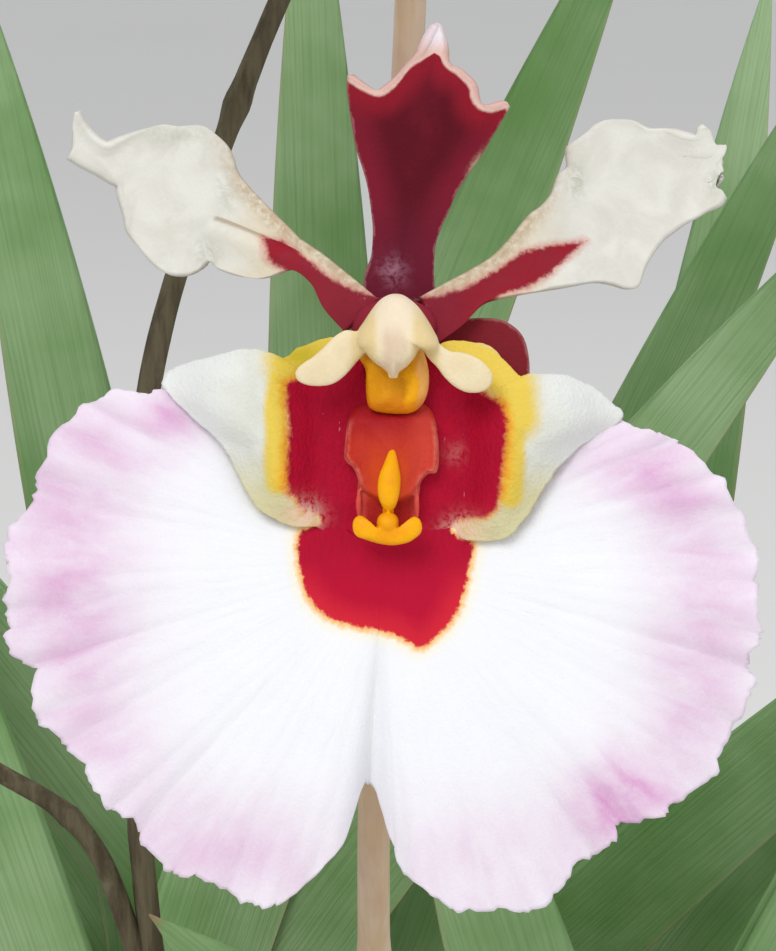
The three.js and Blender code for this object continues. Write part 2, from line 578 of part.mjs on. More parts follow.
// The bark: a packed core that fills the pot and chips that stand out of its top, with a hole for each stem.
function pottingMix(stems) {
  const floor = POT_FLOOR + MIX_GAP;
  const core = [
    [0, floor], [potInnerRadius(floor) - MIX_GAP, floor],
    [potInnerRadius(MIX_TOP) - MIX_GAP, MIX_TOP - 1.5], [potInnerRadius(MIX_TOP) - 3, MIX_TOP],
    [0, MIX_TOP + 1.5],
  ].map(([r, z]) => new THREE.Vector2(r, z));
  const random = randomFrom(20);
  const chips = [];
  for (let i = 0; i < CHIP_COUNT; i++) {
    const radius = 31.5 * Math.sqrt((i + 0.5) / CHIP_COUNT);
    const angle = i * 2.39996;
    const long = CHIP_LENGTH * (0.65 + 0.5 * random());
    const chip = new THREE.BoxGeometry(long, long * (0.5 + 0.25 * random()), 3.4);
    chip.rotateX((random() - 0.5) * 0.9).rotateY((random() - 0.5) * 0.9).rotateZ(random() * Math.PI);
    const rim = Math.min(radius, potInnerRadius(MIX_TOP) - 0.5 * long - 1.6);
    chip.translate(rim * Math.cos(angle), rim * Math.sin(angle), MIX_TOP + 0.8 + 1.4 * random());
    chips.push(solidOf(chip));
  }
  const packed = solidOf(new THREE.LatheGeometry(core, POT_SIDES / 2).rotateX(Math.PI / 2)).add(fuse(chips));
  return largestBody(packed.subtract(fuse(stems)));
}

// A plain hole that one stem stands in.
function stemHole(x, y, rx, ry, turn, bottom) {
  const hole = new THREE.CylinderGeometry(1, 1, 40, 10).rotateX(Math.PI / 2).scale(rx, ry, 1);
  return solidOf(hole.rotateZ(turn * DEGREE).translate(x, y, bottom + 20));
}

const clay = new THREE.MeshStandardMaterial({ color: 0xb5673f, roughness: 0.9, metalness: 0 });
const bark = new THREE.MeshStandardMaterial({ color: 0x5d3d26, roughness: 0.95, metalness: 0 });
const leafGreen = new THREE.MeshStandardMaterial({ color: 0x5f8a4c, roughness: 0.5, metalness: 0 });
const stalkBeige = new THREE.MeshStandardMaterial({ color: 0xb89a76, roughness: 0.55, metalness: 0 });
const dryBrown = new THREE.MeshStandardMaterial({ color: 0x6f5844, roughness: 0.85, metalness: 0 });
const crimson = new THREE.MeshStandardMaterial({ color: 0x8c1f33, roughness: 0.55, metalness: 0 });
const petalWhite = new THREE.MeshStandardMaterial({ color: 0xeae6df, roughness: 0.5, metalness: 0 });
const crestOrange = new THREE.MeshStandardMaterial({ color: 0xd8581f, roughness: 0.45, metalness: 0 });
const blushWhite = new THREE.MeshStandardMaterial({ color: 0xf0e4ef, roughness: 0.5, metalness: 0 });
const cream = new THREE.MeshStandardMaterial({ color: 0xefe3c2, roughness: 0.45, metalness: 0 });

const plant = new THREE.Group();

function addMesh(parent, name, solid, material) {
  const mesh = new THREE.Mesh(geometryOf(solid), material);
  mesh.name = name;
  parent.add(mesh);
  return mesh;
}

const stemHoles = [
  ...FANS.map((fan) => fanStub(HOLE_CLEARANCE).transform(fanMatrix(fan).elements)),
  stemHole(SPIKE_ROUTE[0].x - 0.3, SPIKE_ROUTE[0].y - 1.4, 2, 3.6, 0, SPIKE_ROUTE[0].z - SEAT_GAP),
  stemHole(OLD_STALK_ROUTE[0].x - 0.4, OLD_STALK_ROUTE[0].y - 1, 2, 2.8, 0, OLD_STALK_ROUTE[0].z - SEAT_GAP),
];
addMesh(plant, "pot", pot(), clay);
addMesh(plant, "potting_mix", pottingMix(stemHoles), bark);
FANS.forEach((fan, i) => {
  const group = new THREE.Group();
  group.applyMatrix4(fanMatrix(fan));
  addMesh(group, `leaf_fan_${i + 1}`, fanSolid(fan), leafGreen);
  plant.add(group);
});
addMesh(plant, "flower_spike", spike(), stalkBeige);
addMesh(plant, "spent_stalk", oldStalk(), dryBrown);
BLOOMS.forEach((bloom, i) => {
  const group = new THREE.Group();
  group.applyMatrix4(bloomMatrix(bloom));
  const detail = i === 0 ? 1 : 0.5;
  const handed = (solid) => (bloom.mirror ? solid.mirror([1, 0, 0]) : solid);
  addMesh(group, `bloom_${i + 1}_sepals`, handed(sepals(detail)), crimson);
  addMesh(group, `bloom_${i + 1}_petals`, handed(petals(detail)), petalWhite);
  addMesh(group, `bloom_${i + 1}_lip`, handed(lip(detail, bloom.phase)), blushWhite);
  addMesh(group, `bloom_${i + 1}_crest`, handed(crest(detail)), crestOrange);
  addMesh(group, `bloom_${i + 1}_column`, handed(column(detail)), cream);
  plant.add(group);
});

export default plant;
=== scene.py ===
# A potted tolumnia orchid, dressed on its frame: blooms, spikes, leaf fans, bark and a clay pot.
# Lengths in the shape code are in millimetres, and are turned to metres as each mesh is finished.
import math

import bmesh
import bpy
import numpy as np
from mathutils import Matrix, Vector


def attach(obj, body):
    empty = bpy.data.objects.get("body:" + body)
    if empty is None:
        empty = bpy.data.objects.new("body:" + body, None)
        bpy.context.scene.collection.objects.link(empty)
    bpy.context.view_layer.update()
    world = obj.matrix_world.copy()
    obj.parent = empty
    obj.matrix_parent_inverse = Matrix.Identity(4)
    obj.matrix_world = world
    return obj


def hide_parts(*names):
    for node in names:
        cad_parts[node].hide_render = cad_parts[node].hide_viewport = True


bl_info = {
    "name": "Potted Tolumnia Orchid",
    "version": (1, 0, 0),
    "blender": (4, 5, 0),
    "location": "3D View > Sidebar > Orchid",
    "description": "Builds the blooms, stalks, leaves, bark and pot of a small orchid plant",
    "category": "Object",
}

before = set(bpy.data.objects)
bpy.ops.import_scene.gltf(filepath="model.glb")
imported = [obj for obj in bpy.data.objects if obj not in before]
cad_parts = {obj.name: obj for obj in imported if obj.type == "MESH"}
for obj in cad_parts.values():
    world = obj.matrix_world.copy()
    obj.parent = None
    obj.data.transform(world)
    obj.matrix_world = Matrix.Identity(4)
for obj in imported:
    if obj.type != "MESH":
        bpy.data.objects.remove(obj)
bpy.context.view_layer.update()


# Sizes and colours that a user may change


def colour_setting(name, description, default):
    words = {"name": name, "description": description}
    return bpy.props.FloatVectorProperty(**words, default=default, subtype="COLOR", size=3, min=0, max=1)


def size_setting(name, description, default, **limits):
    words = {"name": name, "description": description}
    return bpy.props.FloatProperty(**words, default=default, unit="LENGTH", **limits)


class BloomSettings(bpy.types.PropertyGroup):
    petal_thickness: size_setting("Petal thickness", "Thickness of petals and sepals", 0.00045, min=0.0001)
    lip_thickness: size_setting("Lip thickness", "Thickness of the lip's sheet", 0.0005, min=0.0001)
    lip_white: colour_setting("Lip white", "The middle of the lip", (0.862, 0.866, 0.9))
    lip_blush: colour_setting("Lip blush", "The rose of the lip's margin", (0.66, 0.33, 0.57))
    heart_red: colour_setting("Heart red", "The red zone in the middle of the lip", (0.4, 0.006, 0.03))
    gold: colour_setting("Gold", "Bands, ridge and tooth", (0.92, 0.42, 0.004))
    shoulder: colour_setting("Side lobe", "The lip's side lobes", (0.665, 0.675, 0.6))
    petal: colour_setting("Petal", "The pale part of the petals", (0.655, 0.64, 0.575))
    crimson: colour_setting("Crimson", "The sepals and the petals' claws", (0.2, 0.012, 0.028))
    cream: colour_setting("Column cream", "The cap and wings of the column", (0.76, 0.63, 0.4))


class PlantSettings(bpy.types.PropertyGroup):
    leaf_green: colour_setting("Leaf green", "The leaves' face", (0.135, 0.3, 0.08))
    leaf_pale: colour_setting("Leaf bloom", "The pale bloom on the leaves", (0.3, 0.45, 0.22))
    stalk: colour_setting("Stalk", "The flowering stalk", (0.52, 0.37, 0.22))
    dry_stalk: colour_setting("Dry stalk", "The spent stalk", (0.058, 0.045, 0.024))


class PotSettings(bpy.types.PropertyGroup):
    height: size_setting("Height", "Height of the pot", 0.066, min=0.02)
    base_radius: size_setting("Base radius", "Radius of the pot's base", 0.028, min=0.01)
    top_radius: size_setting("Top radius", "Radius under the band", 0.037, min=0.01)
    clay: colour_setting("Clay", "Fired clay", (0.45, 0.17, 0.085))
    bark: colour_setting("Bark", "The bark chips", (0.16, 0.085, 0.045))


class StageSettings(bpy.types.PropertyGroup):
    floor: colour_setting("Floor", "The plain pale floor", (0.72, 0.72, 0.7))
    lens: bpy.props.FloatProperty(
        name="Lens", description="The camera's focal length", default=115.2, unit="CAMERA", min=10
    )
    distance: size_setting("Distance", "From the camera to the front bloom", 0.13, min=0.05)


# Curves and fields


def spline(points, t, closed=False):
    """Points of a smooth curve through points, at the shares t of its spans."""
    p = np.asarray(points, float)
    count = len(p)
    if closed:
        place = np.asarray(t, float) % 1.0 * count
        i = np.floor(place).astype(int) % count
        f = place - np.floor(place)
        a, b, c, d = p[(i - 1) % count], p[i], p[(i + 1) % count], p[(i + 2) % count]
    else:
        longer = np.concatenate([[2 * p[0] - p[1]], p, [2 * p[-1] - p[-2]]])
        place = np.clip(np.asarray(t, float), 0, 1) * (count - 1)
        i = np.minimum(np.floor(place).astype(int), count - 2)
        f = place - i
        a, b, c, d = longer[i], longer[i + 1], longer[i + 2], longer[i + 3]
    f = f.reshape(f.shape + (1,) * (p.ndim - 1))
    return 0.5 * (2 * b + (c - a) * f + (2 * a - 5 * b + 4 * c - d) * f**2 + (3 * b - a - 3 * c + d) * f**3)


def even_spline(points, count):
    """Points at even lengths along a smooth curve."""
    fine = spline(points, np.linspace(0, 1, 800))
    run = np.concatenate([[0], np.cumsum(np.linalg.norm(np.diff(fine, axis=0), axis=1))])
    want = np.linspace(0, run[-1], count)
    return np.stack([np.interp(want, run, fine[:, k]) for k in range(fine.shape[1])], 1)


def stacked(x, y, z):
    return np.stack(np.broadcast_arrays(x, y, z), -1)


def ease(low, high, x):
    t = np.clip((np.asarray(x, float) - low) / (high - low), 0, 1)
    return t * t * (3 - 2 * t)


def bell(x, width):
    return np.exp(-((x / width) ** 2))


def spot(x, z, centre, radii):
    return np.exp(-(((x - centre[0]) / radii[0]) ** 2) - ((z - centre[1]) / radii[1]) ** 2)


def sum_of_spots(x, z, spots):
    """Soft spots, each with its centre, its half widths and its strength."""
    return sum(strength * spot(x, z, centre, radii) for centre, radii, strength in spots)


def distance_to_line(x, z, line, closed=False):
    """Distance from points to a line through the points of line."""
    line = np.asarray(line, float)
    ends = np.roll(line, -1, axis=0) if closed else line[1:]
    starts = line if closed else line[:-1]
    best = np.full(x.shape, 1e9)
    for (ax, az), (bx, bz) in zip(starts, ends):
        dx, dz = bx - ax, bz - az
        t = np.clip(((x - ax) * dx + (z - az) * dz) / max(dx * dx + dz * dz, 1e-12), 0, 1)
        best = np.minimum(best, np.hypot(x - ax - t * dx, z - az - t * dz))
    return best


def depth_inside(x, z, outline):
    """Distance to a closed outline, positive inside it."""
    inside = np.zeros(x.shape, bool)
    line = np.asarray(outline, float)
    for (ax, az), (bx, bz) in zip(line, np.roll(line, -1, axis=0)):
        if az != bz:
            crosses = ((az > z) != (bz > z)) & (x < (bx - ax) * (z - az) / (bz - az) + ax)
            inside ^= crosses
    return np.where(inside, 1, -1) * distance_to_line(x, z, outline, closed=True)


# Meshes


def layers_for(bm, values):
    return bm.verts.layers.float_vector if values.ndim == 3 else bm.verts.layers.float


def mark(bm, verts, **values):
    """Gives points a value in attributes that the mesh already has."""
    for name, value in values.items():
        layer = bm.verts.layers.float.get(name)
        for vertex in verts:
            vertex[layer] = value


def add_sheet(bm, lattice, fields=None, material=0, wrapped=False):
    """Lays a grid of faces on a lattice of points. Each field is kept on the points as an attribute."""
    rows, columns = lattice.shape[:2]
    fields = fields or {}
    for name, values in fields.items():
        if layers_for(bm, values).get(name) is None:
            layers_for(bm, values).new(name)
    layers = [(layers_for(bm, values).get(name), values) for name, values in fields.items()]
    made = bmesh.ops.create_grid(bm, x_segments=columns - 1, y_segments=rows - 1, size=0.5)["verts"]
    faces = set()
    for vertex in made:
        i = round((vertex.co.x + 0.5) * (columns - 1))
        j = round((vertex.co.y + 0.5) * (rows - 1))
        vertex.co = lattice[j, i]
        for layer, values in layers:
            vertex[layer] = values[j, i] if values.ndim == 3 else float(values[j, i])
        faces.update(vertex.link_faces)
    for face in faces:
        face.material_index = material
        face.smooth = True
    if wrapped:
        bmesh.ops.remove_doubles(bm, verts=made, dist=1e-5)
    return [vertex for vertex in made if vertex.is_valid]


def add_tube(bm, line, radii, sides, **fields):
    """A closed tube along a line of points, drawn in to a point at its ends. It keeps its length as along."""
    line = np.asarray(line, float)
    ahead = np.gradient(line, axis=0)
    ahead /= np.linalg.norm(ahead, axis=1, keepdims=True)
    side = np.cross(ahead[0], [0.3, 0.9, 0.2])
    rings = []
    for tangent in ahead:
        side = side - tangent * np.dot(side, tangent)
        side /= np.linalg.norm(side)
        rings.append((side.copy(), np.cross(tangent, side)))
    angle = np.linspace(0, 2 * np.pi, sides + 1)
    radii = np.asarray(radii, float)
    if radii.ndim == 1:
        radii = np.repeat(radii[:, None], sides + 1, axis=1)
    lattice = [
        centre + np.outer(np.cos(angle) * r, a) + np.outer(np.sin(angle) * r, b)
        for centre, r, (a, b) in zip(line, radii, rings)
    ]
    start, end = np.tile(line[0], (sides + 1, 1)), np.tile(line[-1], (sides + 1, 1))
    lattice = np.stack([start, *lattice, end])
    fields["along"] = np.linspace(0, 1, len(lattice))[:, None]
    kept = {name: np.broadcast_to(value, lattice.shape[:2]) for name, value in fields.items()}
    return add_sheet(bm, lattice, kept, wrapped=True)


def add_lump(bm, centre, radii):
    """An upright ellipsoid."""
    made = bmesh.ops.create_icosphere(bm, subdivisions=3, radius=1)["verts"]
    bmesh.ops.transform(bm, matrix=Matrix.Translation(centre) @ Matrix.Diagonal((*radii, 1)), verts=made)
    for face in {f for v in made for f in v.link_faces}:
        face.smooth = True
    return made


def mesh_of(bm, name):
    mesh = bpy.data.meshes.new(name)
    bm.to_mesh(mesh)
    bm.free()
    return mesh


def shown(name, data):
    """A new object of the scene."""
    thing = bpy.data.objects.new(name, data)
    bpy.context.scene.collection.objects.link(thing)
    return thing


def applied(thing):
    """A mesh with the object's modifiers worked into it."""
    return bpy.data.meshes.new_from_object(thing.evaluated_get(bpy.context.evaluated_depsgraph_get()))


def melted(bm, voxel, smoothing=2):
    """Closed shapes grown together into one skin."""
    thing = shown("closed shapes", mesh_of(bm, "closed shapes"))
    modifier = thing.modifiers.new("grow together", "REMESH")
    modifier.mode = "VOXEL"
    modifier.voxel_size = voxel
    modifier.use_smooth_shade = True
    whole = applied(thing)
    bpy.data.objects.remove(thing)
    bm = bmesh.new()
    bm.from_mesh(whole)
    for layers in (bm.verts.layers.float, bm.verts.layers.float_vector):
        for layer in layers.values():
            layers.remove(layer)
    for _ in range(smoothing):
        bmesh.ops.smooth_vert(
            bm, verts=bm.verts, factor=0.5, use_axis_x=True, use_axis_y=True, use_axis_z=True
        )
    return bm


def add_mesh(bm, other, material=0):
    """Adds another mesh's faces to this one, all of one material."""
    other_mesh = mesh_of(other, "part")
    before = len(bm.faces)
    bm.from_mesh(other_mesh)
    bpy.data.meshes.remove(other_mesh)
    bm.faces.ensure_lookup_table()
    for face in bm.faces[before:]:
        face.material_index = material
        face.smooth = True


def finish_piece(bm, name, node, materials, matrix=None, outwards=False):
    """Turns the shape to metres, puts it in the frame, hides its node's part so that it stands in the part's
    place, and hangs it on the root body.
    """
    bm.transform(Matrix.Scale(0.001, 4) @ (matrix or Matrix()))
    if matrix is not None and matrix.determinant() < 0:
        bmesh.ops.reverse_faces(bm, faces=bm.faces)
    if outwards:
        bmesh.ops.recalc_face_normals(bm, faces=bm.faces)
    piece = shown(name, mesh_of(bm, name))
    for material in materials:
        piece.data.materials.append(material)
    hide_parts(node)
    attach(piece, "root")
    return piece


# Materials


class Field:
    """A value that varies over a surface. Its sums and products are nodes too."""

    def __init__(self, paint, socket):
        self.paint, self.socket = paint, socket

    def __add__(self, other):
        return self.paint.maths("ADD", self, other)

    def __sub__(self, other):
        return self.paint.maths("SUBTRACT", self, other)

    def __mul__(self, other):
        return self.paint.maths("MULTIPLY", self, other)

    def __abs__(self):
        return self.paint.maths("ABSOLUTE", self)

    def step(self, low, high):
        """0 at low and 1 at high, and smooth between them."""
        inputs = {"Value": self, "From Min": low, "From Max": high}
        return self.paint.node("ShaderNodeMapRange", inputs, interpolation_type="SMOOTHSTEP")

    def axis(self, letter):
        return self.paint.node("ShaderNodeSeparateXYZ", {"Vector": self}, letter)

    def stretched(self, *scale):
        return self.paint.node("ShaderNodeVectorMath", {0: self, 1: scale}, operation="MULTIPLY")


class Finish:
    """A material whose colour is laid on in coats. A bloom's piece keeps its own place on its points."""

    def __init__(self, name, roughness, specular, in_bloom=False):
        self.material = bpy.data.materials.new(name)
        self.material.use_nodes = True
        self.tree = self.material.node_tree
        self.shader = self.tree.nodes["Principled BSDF"].inputs
        self.shader["Roughness"].default_value = roughness
        self.shader["Specular IOR Level"].default_value = specular
        if in_bloom:
            self.place = self.kept("place", "Vector")
        else:
            self.place = self.node("ShaderNodeTexCoord", {}, "Object")

    def node(self, kind, inputs, output=0, **settings):
        made = self.tree.nodes.new(kind)
        for key, value in settings.items():
            setattr(made, key, value)
        for key, value in inputs.items():
            if isinstance(value, Field):
                self.tree.links.new(value.socket, made.inputs[key])
            else:
                made.inputs[key].default_value = value
        return Field(self, made.outputs[output])

    def maths(self, operation, *values):
        return self.node("ShaderNodeMath", dict(enumerate(values)), operation=operation)

    def kept(self, name, output="Fac"):
        return self.node("ShaderNodeAttribute", {}, output, attribute_name=name)

    def drawn(self):
        """The x and z of a point among the drawn outlines."""
        part = self.kept("part", "Vector")
        return part.axis("X"), part.axis("Z")

    def noise(self, scale, detail, roughness=0.5, distortion=0.0, over=None):
        inputs = {"Vector": over or self.place, "Scale": scale, "Detail": detail}
        inputs |= {"Roughness": roughness, "Distortion": distortion}
        return self.node("ShaderNodeTexNoise", inputs)

    def ragged(self, name, scale, amount):
        """A kept distance, made uneven by fine noise."""
        return self.kept(name) + (self.noise(scale, 5.0, 0.75) - 0.5) * amount

    def coats(self, base, *coats):
        """A base colour with each coat's colour over it, as much of it as the coat's share."""
        for colour, share in coats:
            under, over = (c if isinstance(c, Field) else (*c, 1.0) for c in (base, colour))
            base = self.node("ShaderNodeMix", {0: share, 6: under, 7: over}, 2, data_type="RGBA")
        return base

    def finished(self, skin, height=None, distance=0.0, strength=0.5):
        self.tree.links.new(skin.socket, self.shader["Base Color"])
        if height is not None:
            inputs = {"Height": height, "Distance": distance, "Strength": strength}
            self.tree.links.new(self.node("ShaderNodeBump", inputs).socket, self.shader["Normal"])
        return self.material


# The front bloom's outlines, as x, z pairs from its lip's root, as they look from straight in front

VIEW_DISTANCE = 130.0
VIEW_CENTRE = (-0.085, -3.2265)
UPPER_SEPAL_LEFT = [
    (-1.2, 4.2), (-1.05, 5.4), (-0.78, 6.1), (-0.69, 7.2), (-0.76, 8.1), (-0.9, 9.1), (-1.14, 10.0),
    (-1.38, 10.8), (-1.57, 12.1), (-1.71, 13.3), (-1.68, 13.9),
]
UPPER_SEPAL_RIGHT = [
    (2.0, 4.2), (1.86, 5.3), (1.9, 6.5), (2.14, 7.35), (2.47, 8.1), (2.85, 9.0), (3.32, 9.7), (3.89, 10.5),
    (4.37, 11.35), (4.84, 12.1), (5.11, 12.5),
]
UPPER_SEPAL_TOP = [
    (-1.68, 13.9), (-1.33, 13.63), (-0.85, 13.34), (-0.52, 13.2), (-0.19, 13.39), (0.29, 13.82),
    (0.76, 14.39), (1.24, 14.86), (1.52, 15.34), (1.8, 15.86), (2.09, 16.15), (2.28, 15.72), (2.42, 15.24),
    (2.44, 14.77), (2.56, 14.34), (2.94, 14.15), (3.32, 13.82), (3.66, 13.44), (3.75, 12.96), (3.99, 12.58),
    (4.46, 12.6), (4.94, 12.76), (5.11, 12.5),
]
LEFT_PETAL_UPPER = [
    (-0.5, 4.3), (-1.6, 5.2), (-2.9, 6.2), (-3.86, 6.85), (-4.2, 7.19), (-4.76, 7.75), (-5.43, 8.42),
    (-6.11, 9.15), (-6.56, 9.77), (-6.73, 10.39), (-7.0, 10.9), (-7.46, 11.35), (-7.91, 11.68),
    (-8.35, 11.74), (-9.03, 11.68), (-9.71, 11.77), (-10.38, 11.59), (-10.95, 11.4), (-11.62, 11.12),
    (-12.1, 10.92), (-12.63, 11.24), (-13.08, 11.8), (-13.36, 12.33),
]
LEFT_PETAL_LOWER = [
    (-1.9, 2.9), (-2.8, 3.9), (-3.4, 5.0), (-4.2, 5.55), (-5.1, 5.27), (-5.77, 5.18), (-6.56, 5.33),
    (-7.34, 5.61), (-7.57, 5.84), (-7.79, 5.89), (-8.13, 5.56), (-8.69, 5.33), (-9.48, 5.39),
    (-10.15, 5.84), (-10.72, 6.51), (-11.17, 7.13), (-11.28, 7.75), (-11.5, 8.53), (-11.62, 9.15),
    (-11.9, 9.33), (-12.52, 9.72), (-13.19, 10.06), (-13.75, 10.39),
]
LEFT_PETAL_END = [(-13.36, 12.33), (-13.51, 11.8), (-13.53, 11.2), (-13.55, 10.79), (-13.75, 10.39)]
RIGHT_PETAL_UPPER = [
    (1.3, 4.4), (2.4, 5.0), (3.4, 5.5), (4.4, 6.1), (5.2, 6.9), (5.98, 7.87), (6.47, 8.26), (6.95, 8.84),
    (7.24, 9.62), (7.63, 10.05), (7.59, 10.78), (7.93, 11.07), (8.41, 11.41), (8.8, 11.75), (9.29, 11.97),
    (9.87, 11.97), (10.35, 11.94), (10.84, 11.65), (11.13, 11.56), (11.81, 11.56), (12.39, 11.36),
    (12.85, 11.26), (13.1, 11.32), (13.2, 11.62), (13.4, 11.7),
]
RIGHT_PETAL_LOWER = [
    (2.0, 2.4), (3.1, 3.2), (4.0, 4.1), (5.0, 4.4), (6.27, 4.62), (6.95, 4.76), (7.93, 4.91), (8.8, 5.03),
    (9.48, 4.94), (10.06, 4.76), (10.55, 4.81), (10.74, 5.15), (10.84, 5.53), (11.13, 6.12), (11.62, 6.8),
    (12.1, 7.19), (12.59, 7.53), (13.07, 7.77), (13.56, 8.06), (14.14, 8.35), (14.36, 8.69),
]
RIGHT_PETAL_END = [
    (13.4, 11.7), (13.62, 11.58), (13.75, 11.27), (13.95, 10.9), (14.34, 10.88), (14.29, 10.54),
    (14.14, 10.2), (14.22, 9.75), (14.04, 9.6), (13.95, 9.27), (13.94, 9.04), (14.18, 8.92), (14.36, 8.69),
]
RIGHT_SEPAL_UPPER = [(0.6, 3.6), (2.4, 3.4), (3.8, 3.5), (4.8, 3.4), (5.6, 2.8), (5.9, 1.8), (5.9, 0.6)]
RIGHT_SEPAL_LOWER = [(0.2, 1.5), (1.5, 0.6), (2.8, 0.0), (3.8, -0.5), (4.7, -0.6), (5.3, -0.3), (5.7, 0.2)]
LEFT_SEPAL_UPPER = [(-0.4, 3.2), (-1.7, 2.4), (-2.9, 0.9), (-3.7, -0.6), (-3.8, -2.1), (-3.3, -3.2)]
LEFT_SEPAL_LOWER = [(0.4, 2.1), (0.2, 0.6), (-0.3, -0.9), (-0.9, -2.1), (-1.9, -3.0), (-2.7, -3.5)]
MIDLOBE_HUB = (-0.2, -6.8)
MIDLOBE_MARGIN = [
    (-6.8, -1.8), (-8.3, -0.4), (-9.7, 0.3), (-10.7, 0.2), (-11.8, 0.3), (-13.0, -0.3), (-14.3, -1.5),
    (-15.0, -3.3), (-15.1, -4.2), (-16.2, -5.6), (-16.4, -6.7), (-16.2, -7.5), (-16.4, -8.6), (-16.2, -9.6),
    (-16.4, -10.3), (-15.8, -11.0), (-15.1, -11.5), (-15.2, -13.3), (-14.1, -14.4), (-13.0, -15.7),
    (-12.4, -17.0), (-11.6, -17.6), (-10.9, -17.9), (-10.6, -18.7), (-9.7, -19.8), (-8.9, -20.3),
    (-7.9, -20.4), (-6.3, -21.3), (-5.4, -21.6), (-4.5, -21.3), (-2.9, -19.9), (-2.1, -18.7), (-1.4, -16.5),
    (-1.0, -16.3), (-0.5, -16.5), (0.3, -19.0), (0.8, -20.2), (2.4, -21.5), (3.3, -21.8), (4.7, -21.7),
    (6.0, -21.8), (7.1, -21.0), (8.0, -19.7), (9.5, -18.9), (9.8, -18.0), (11.5, -17.8), (12.1, -17.2),
    (13.8, -16.0), (14.1, -14.9), (15.0, -13.3), (15.5, -12.1), (15.2, -11.2), (15.7, -10.3), (15.8, -9.6),
    (15.6, -8.1), (15.6, -6.5), (14.7, -4.4), (14.0, -3.3), (12.6, -2.1), (11.7, -1.5), (10.7, -1.3),
    (9.3, -1.0), (7.1, -1.8), (3.7, -3.8), (1.7, -4.4), (-0.2, -4.7), (-2.1, -4.4), (-3.8, -3.8),
]
SIDELOBE_HUB = (0.1, -1.8)
SIDELOBE_MARGIN = [
    (0.1, 0.3), (-1.0, 0.7), (-1.5, 2.1), (-2.4, 2.6), (-3.8, 2.2), (-4.6, 1.7), (-5.4, 2.0), (-6.2, 2.1),
    (-7.8, 1.7), (-9.1, 1.3), (-9.7, 0.6), (-8.5, -0.5), (-7.2, -1.7), (-6.6, -2.8), (-5.8, -4.4),
    (-4.9, -5.1), (-4.1, -5.4), (-3.0, -5.5), (-2.1, -6.4), (0.1, -7.1), (2.1, -6.5), (2.8, -5.9),
    (3.6, -6.0), (4.9, -5.9), (5.7, -5.1), (6.6, -3.6), (7.2, -2.7), (8.3, -1.7), (9.9, -0.7), (9.1, 0.1),
    (7.6, 0.9), (6.3, 1.0), (5.5, 0.9), (4.4, 2.1), (3.4, 2.4), (2.1, 2.3), (1.3, 0.7),
]
HEART_OUTLINE = [
    (-4.4, 0.8), (-4.57, 0.3), (-4.49, -1.14), (-4.56, -2.56), (-4.5, -3.8), (-4.1, -4.13), (-3.8, -4.7),
    (-3.1, -4.9), (-3.1, -5.3), (-3.8, -5.7), (-3.92, -6.4), (-3.77, -7.55), (-3.4, -8.55), (-2.56, -9.3),
    (-1.28, -9.7), (-0.29, -9.83), (0.43, -10.1), (1.28, -10.54), (2.0, -10.1), (2.7, -9.26), (3.13, -8.26),
    (3.35, -7.26), (3.5, -6.12), (2.85, -5.84), (2.6, -5.4), (3.13, -5.13), (3.99, -4.99), (4.6, -4.5),
    (4.91, -3.13), (5.06, -1.7), (5.0, -0.43), (4.56, 0.0), (3.85, 0.5), (2.8, 1.3), (1.6, 2.2), (0.2, 2.6),
    (-1.4, 2.3), (-2.8, 1.2), (-3.6, 1.0),
]
LEFT_CLAW = [
    (-5.5, 6.8), (-4.5, 6.8), (-3.7, 6.0), (-2.2, 5.0), (-0.8, 4.45), (0.4, 4.3), (0.4, 2.0), (-1.9, 2.2),
    (-3.0, 3.2), (-3.6, 4.4), (-4.2, 5.4), (-5.1, 6.0),
]
RIGHT_CLAW = [
    (8.3, 6.75), (6.8, 6.6), (5.6, 6.3), (4.6, 5.6), (3.1, 4.75), (1.8, 4.4), (0.4, 4.3), (0.4, 2.0),
    (2.1, 1.7), (3.8, 3.4), (4.6, 4.4), (5.8, 4.8), (6.8, 5.4), (7.6, 6.05),
]
CALLUS_HUB = (0.05, -2.2)
CALLUS_OUTLINE = [
    (-1.58, -0.38), (-1.84, -1.12), (-1.91, -1.77), (-1.96, -2.35), (-1.86, -2.66), (-1.58, -2.89),
    (-1.38, -3.35), (-1.32, -3.68), (-1.12, -3.94), (-0.53, -4.27), (-0.06, -4.53), (0.38, -4.34),
    (0.98, -4.08), (1.22, -3.75), (1.38, -3.42), (1.65, -3.15), (1.98, -3.11), (2.09, -2.65), (2.07, -1.77),
    (1.97, -0.98), (1.75, -0.43), (1.28, -0.09), (0.2, 0.05), (-0.85, -0.09),
]
FOOT_HUB = (-0.05, -4.4)
FOOT_OUTLINE = [
    (-1.3, -3.3), (-1.4, -4.2), (-1.38, -4.95), (-0.95, -5.3), (0.0, -5.45), (0.85, -5.3), (1.18, -4.95),
    (1.24, -4.2), (1.25, -3.4), (0.7, -3.1), (-0.7, -3.1),
]
TOOTH_HUB = (-0.1, -5.75)
TOOTH_OUTLINE = [
    (-1.6, -5.47), (-1.56, -5.13), (-1.37, -4.94), (-1.15, -4.96), (-0.98, -5.13), (-0.85, -5.38),
    (-0.6, -5.43), (-0.1, -5.4), (0.38, -5.43), (0.59, -5.46), (0.73, -5.21), (0.9, -5.02), (1.11, -4.98),
    (1.3, -5.13), (1.38, -5.47), (1.28, -5.73), (0.98, -5.98), (0.64, -6.13), (0.06, -6.21), (-0.51, -6.13),
    (-1.07, -5.96), (-1.45, -5.81),
]
PAD_HUB = (0.35, 0.8)
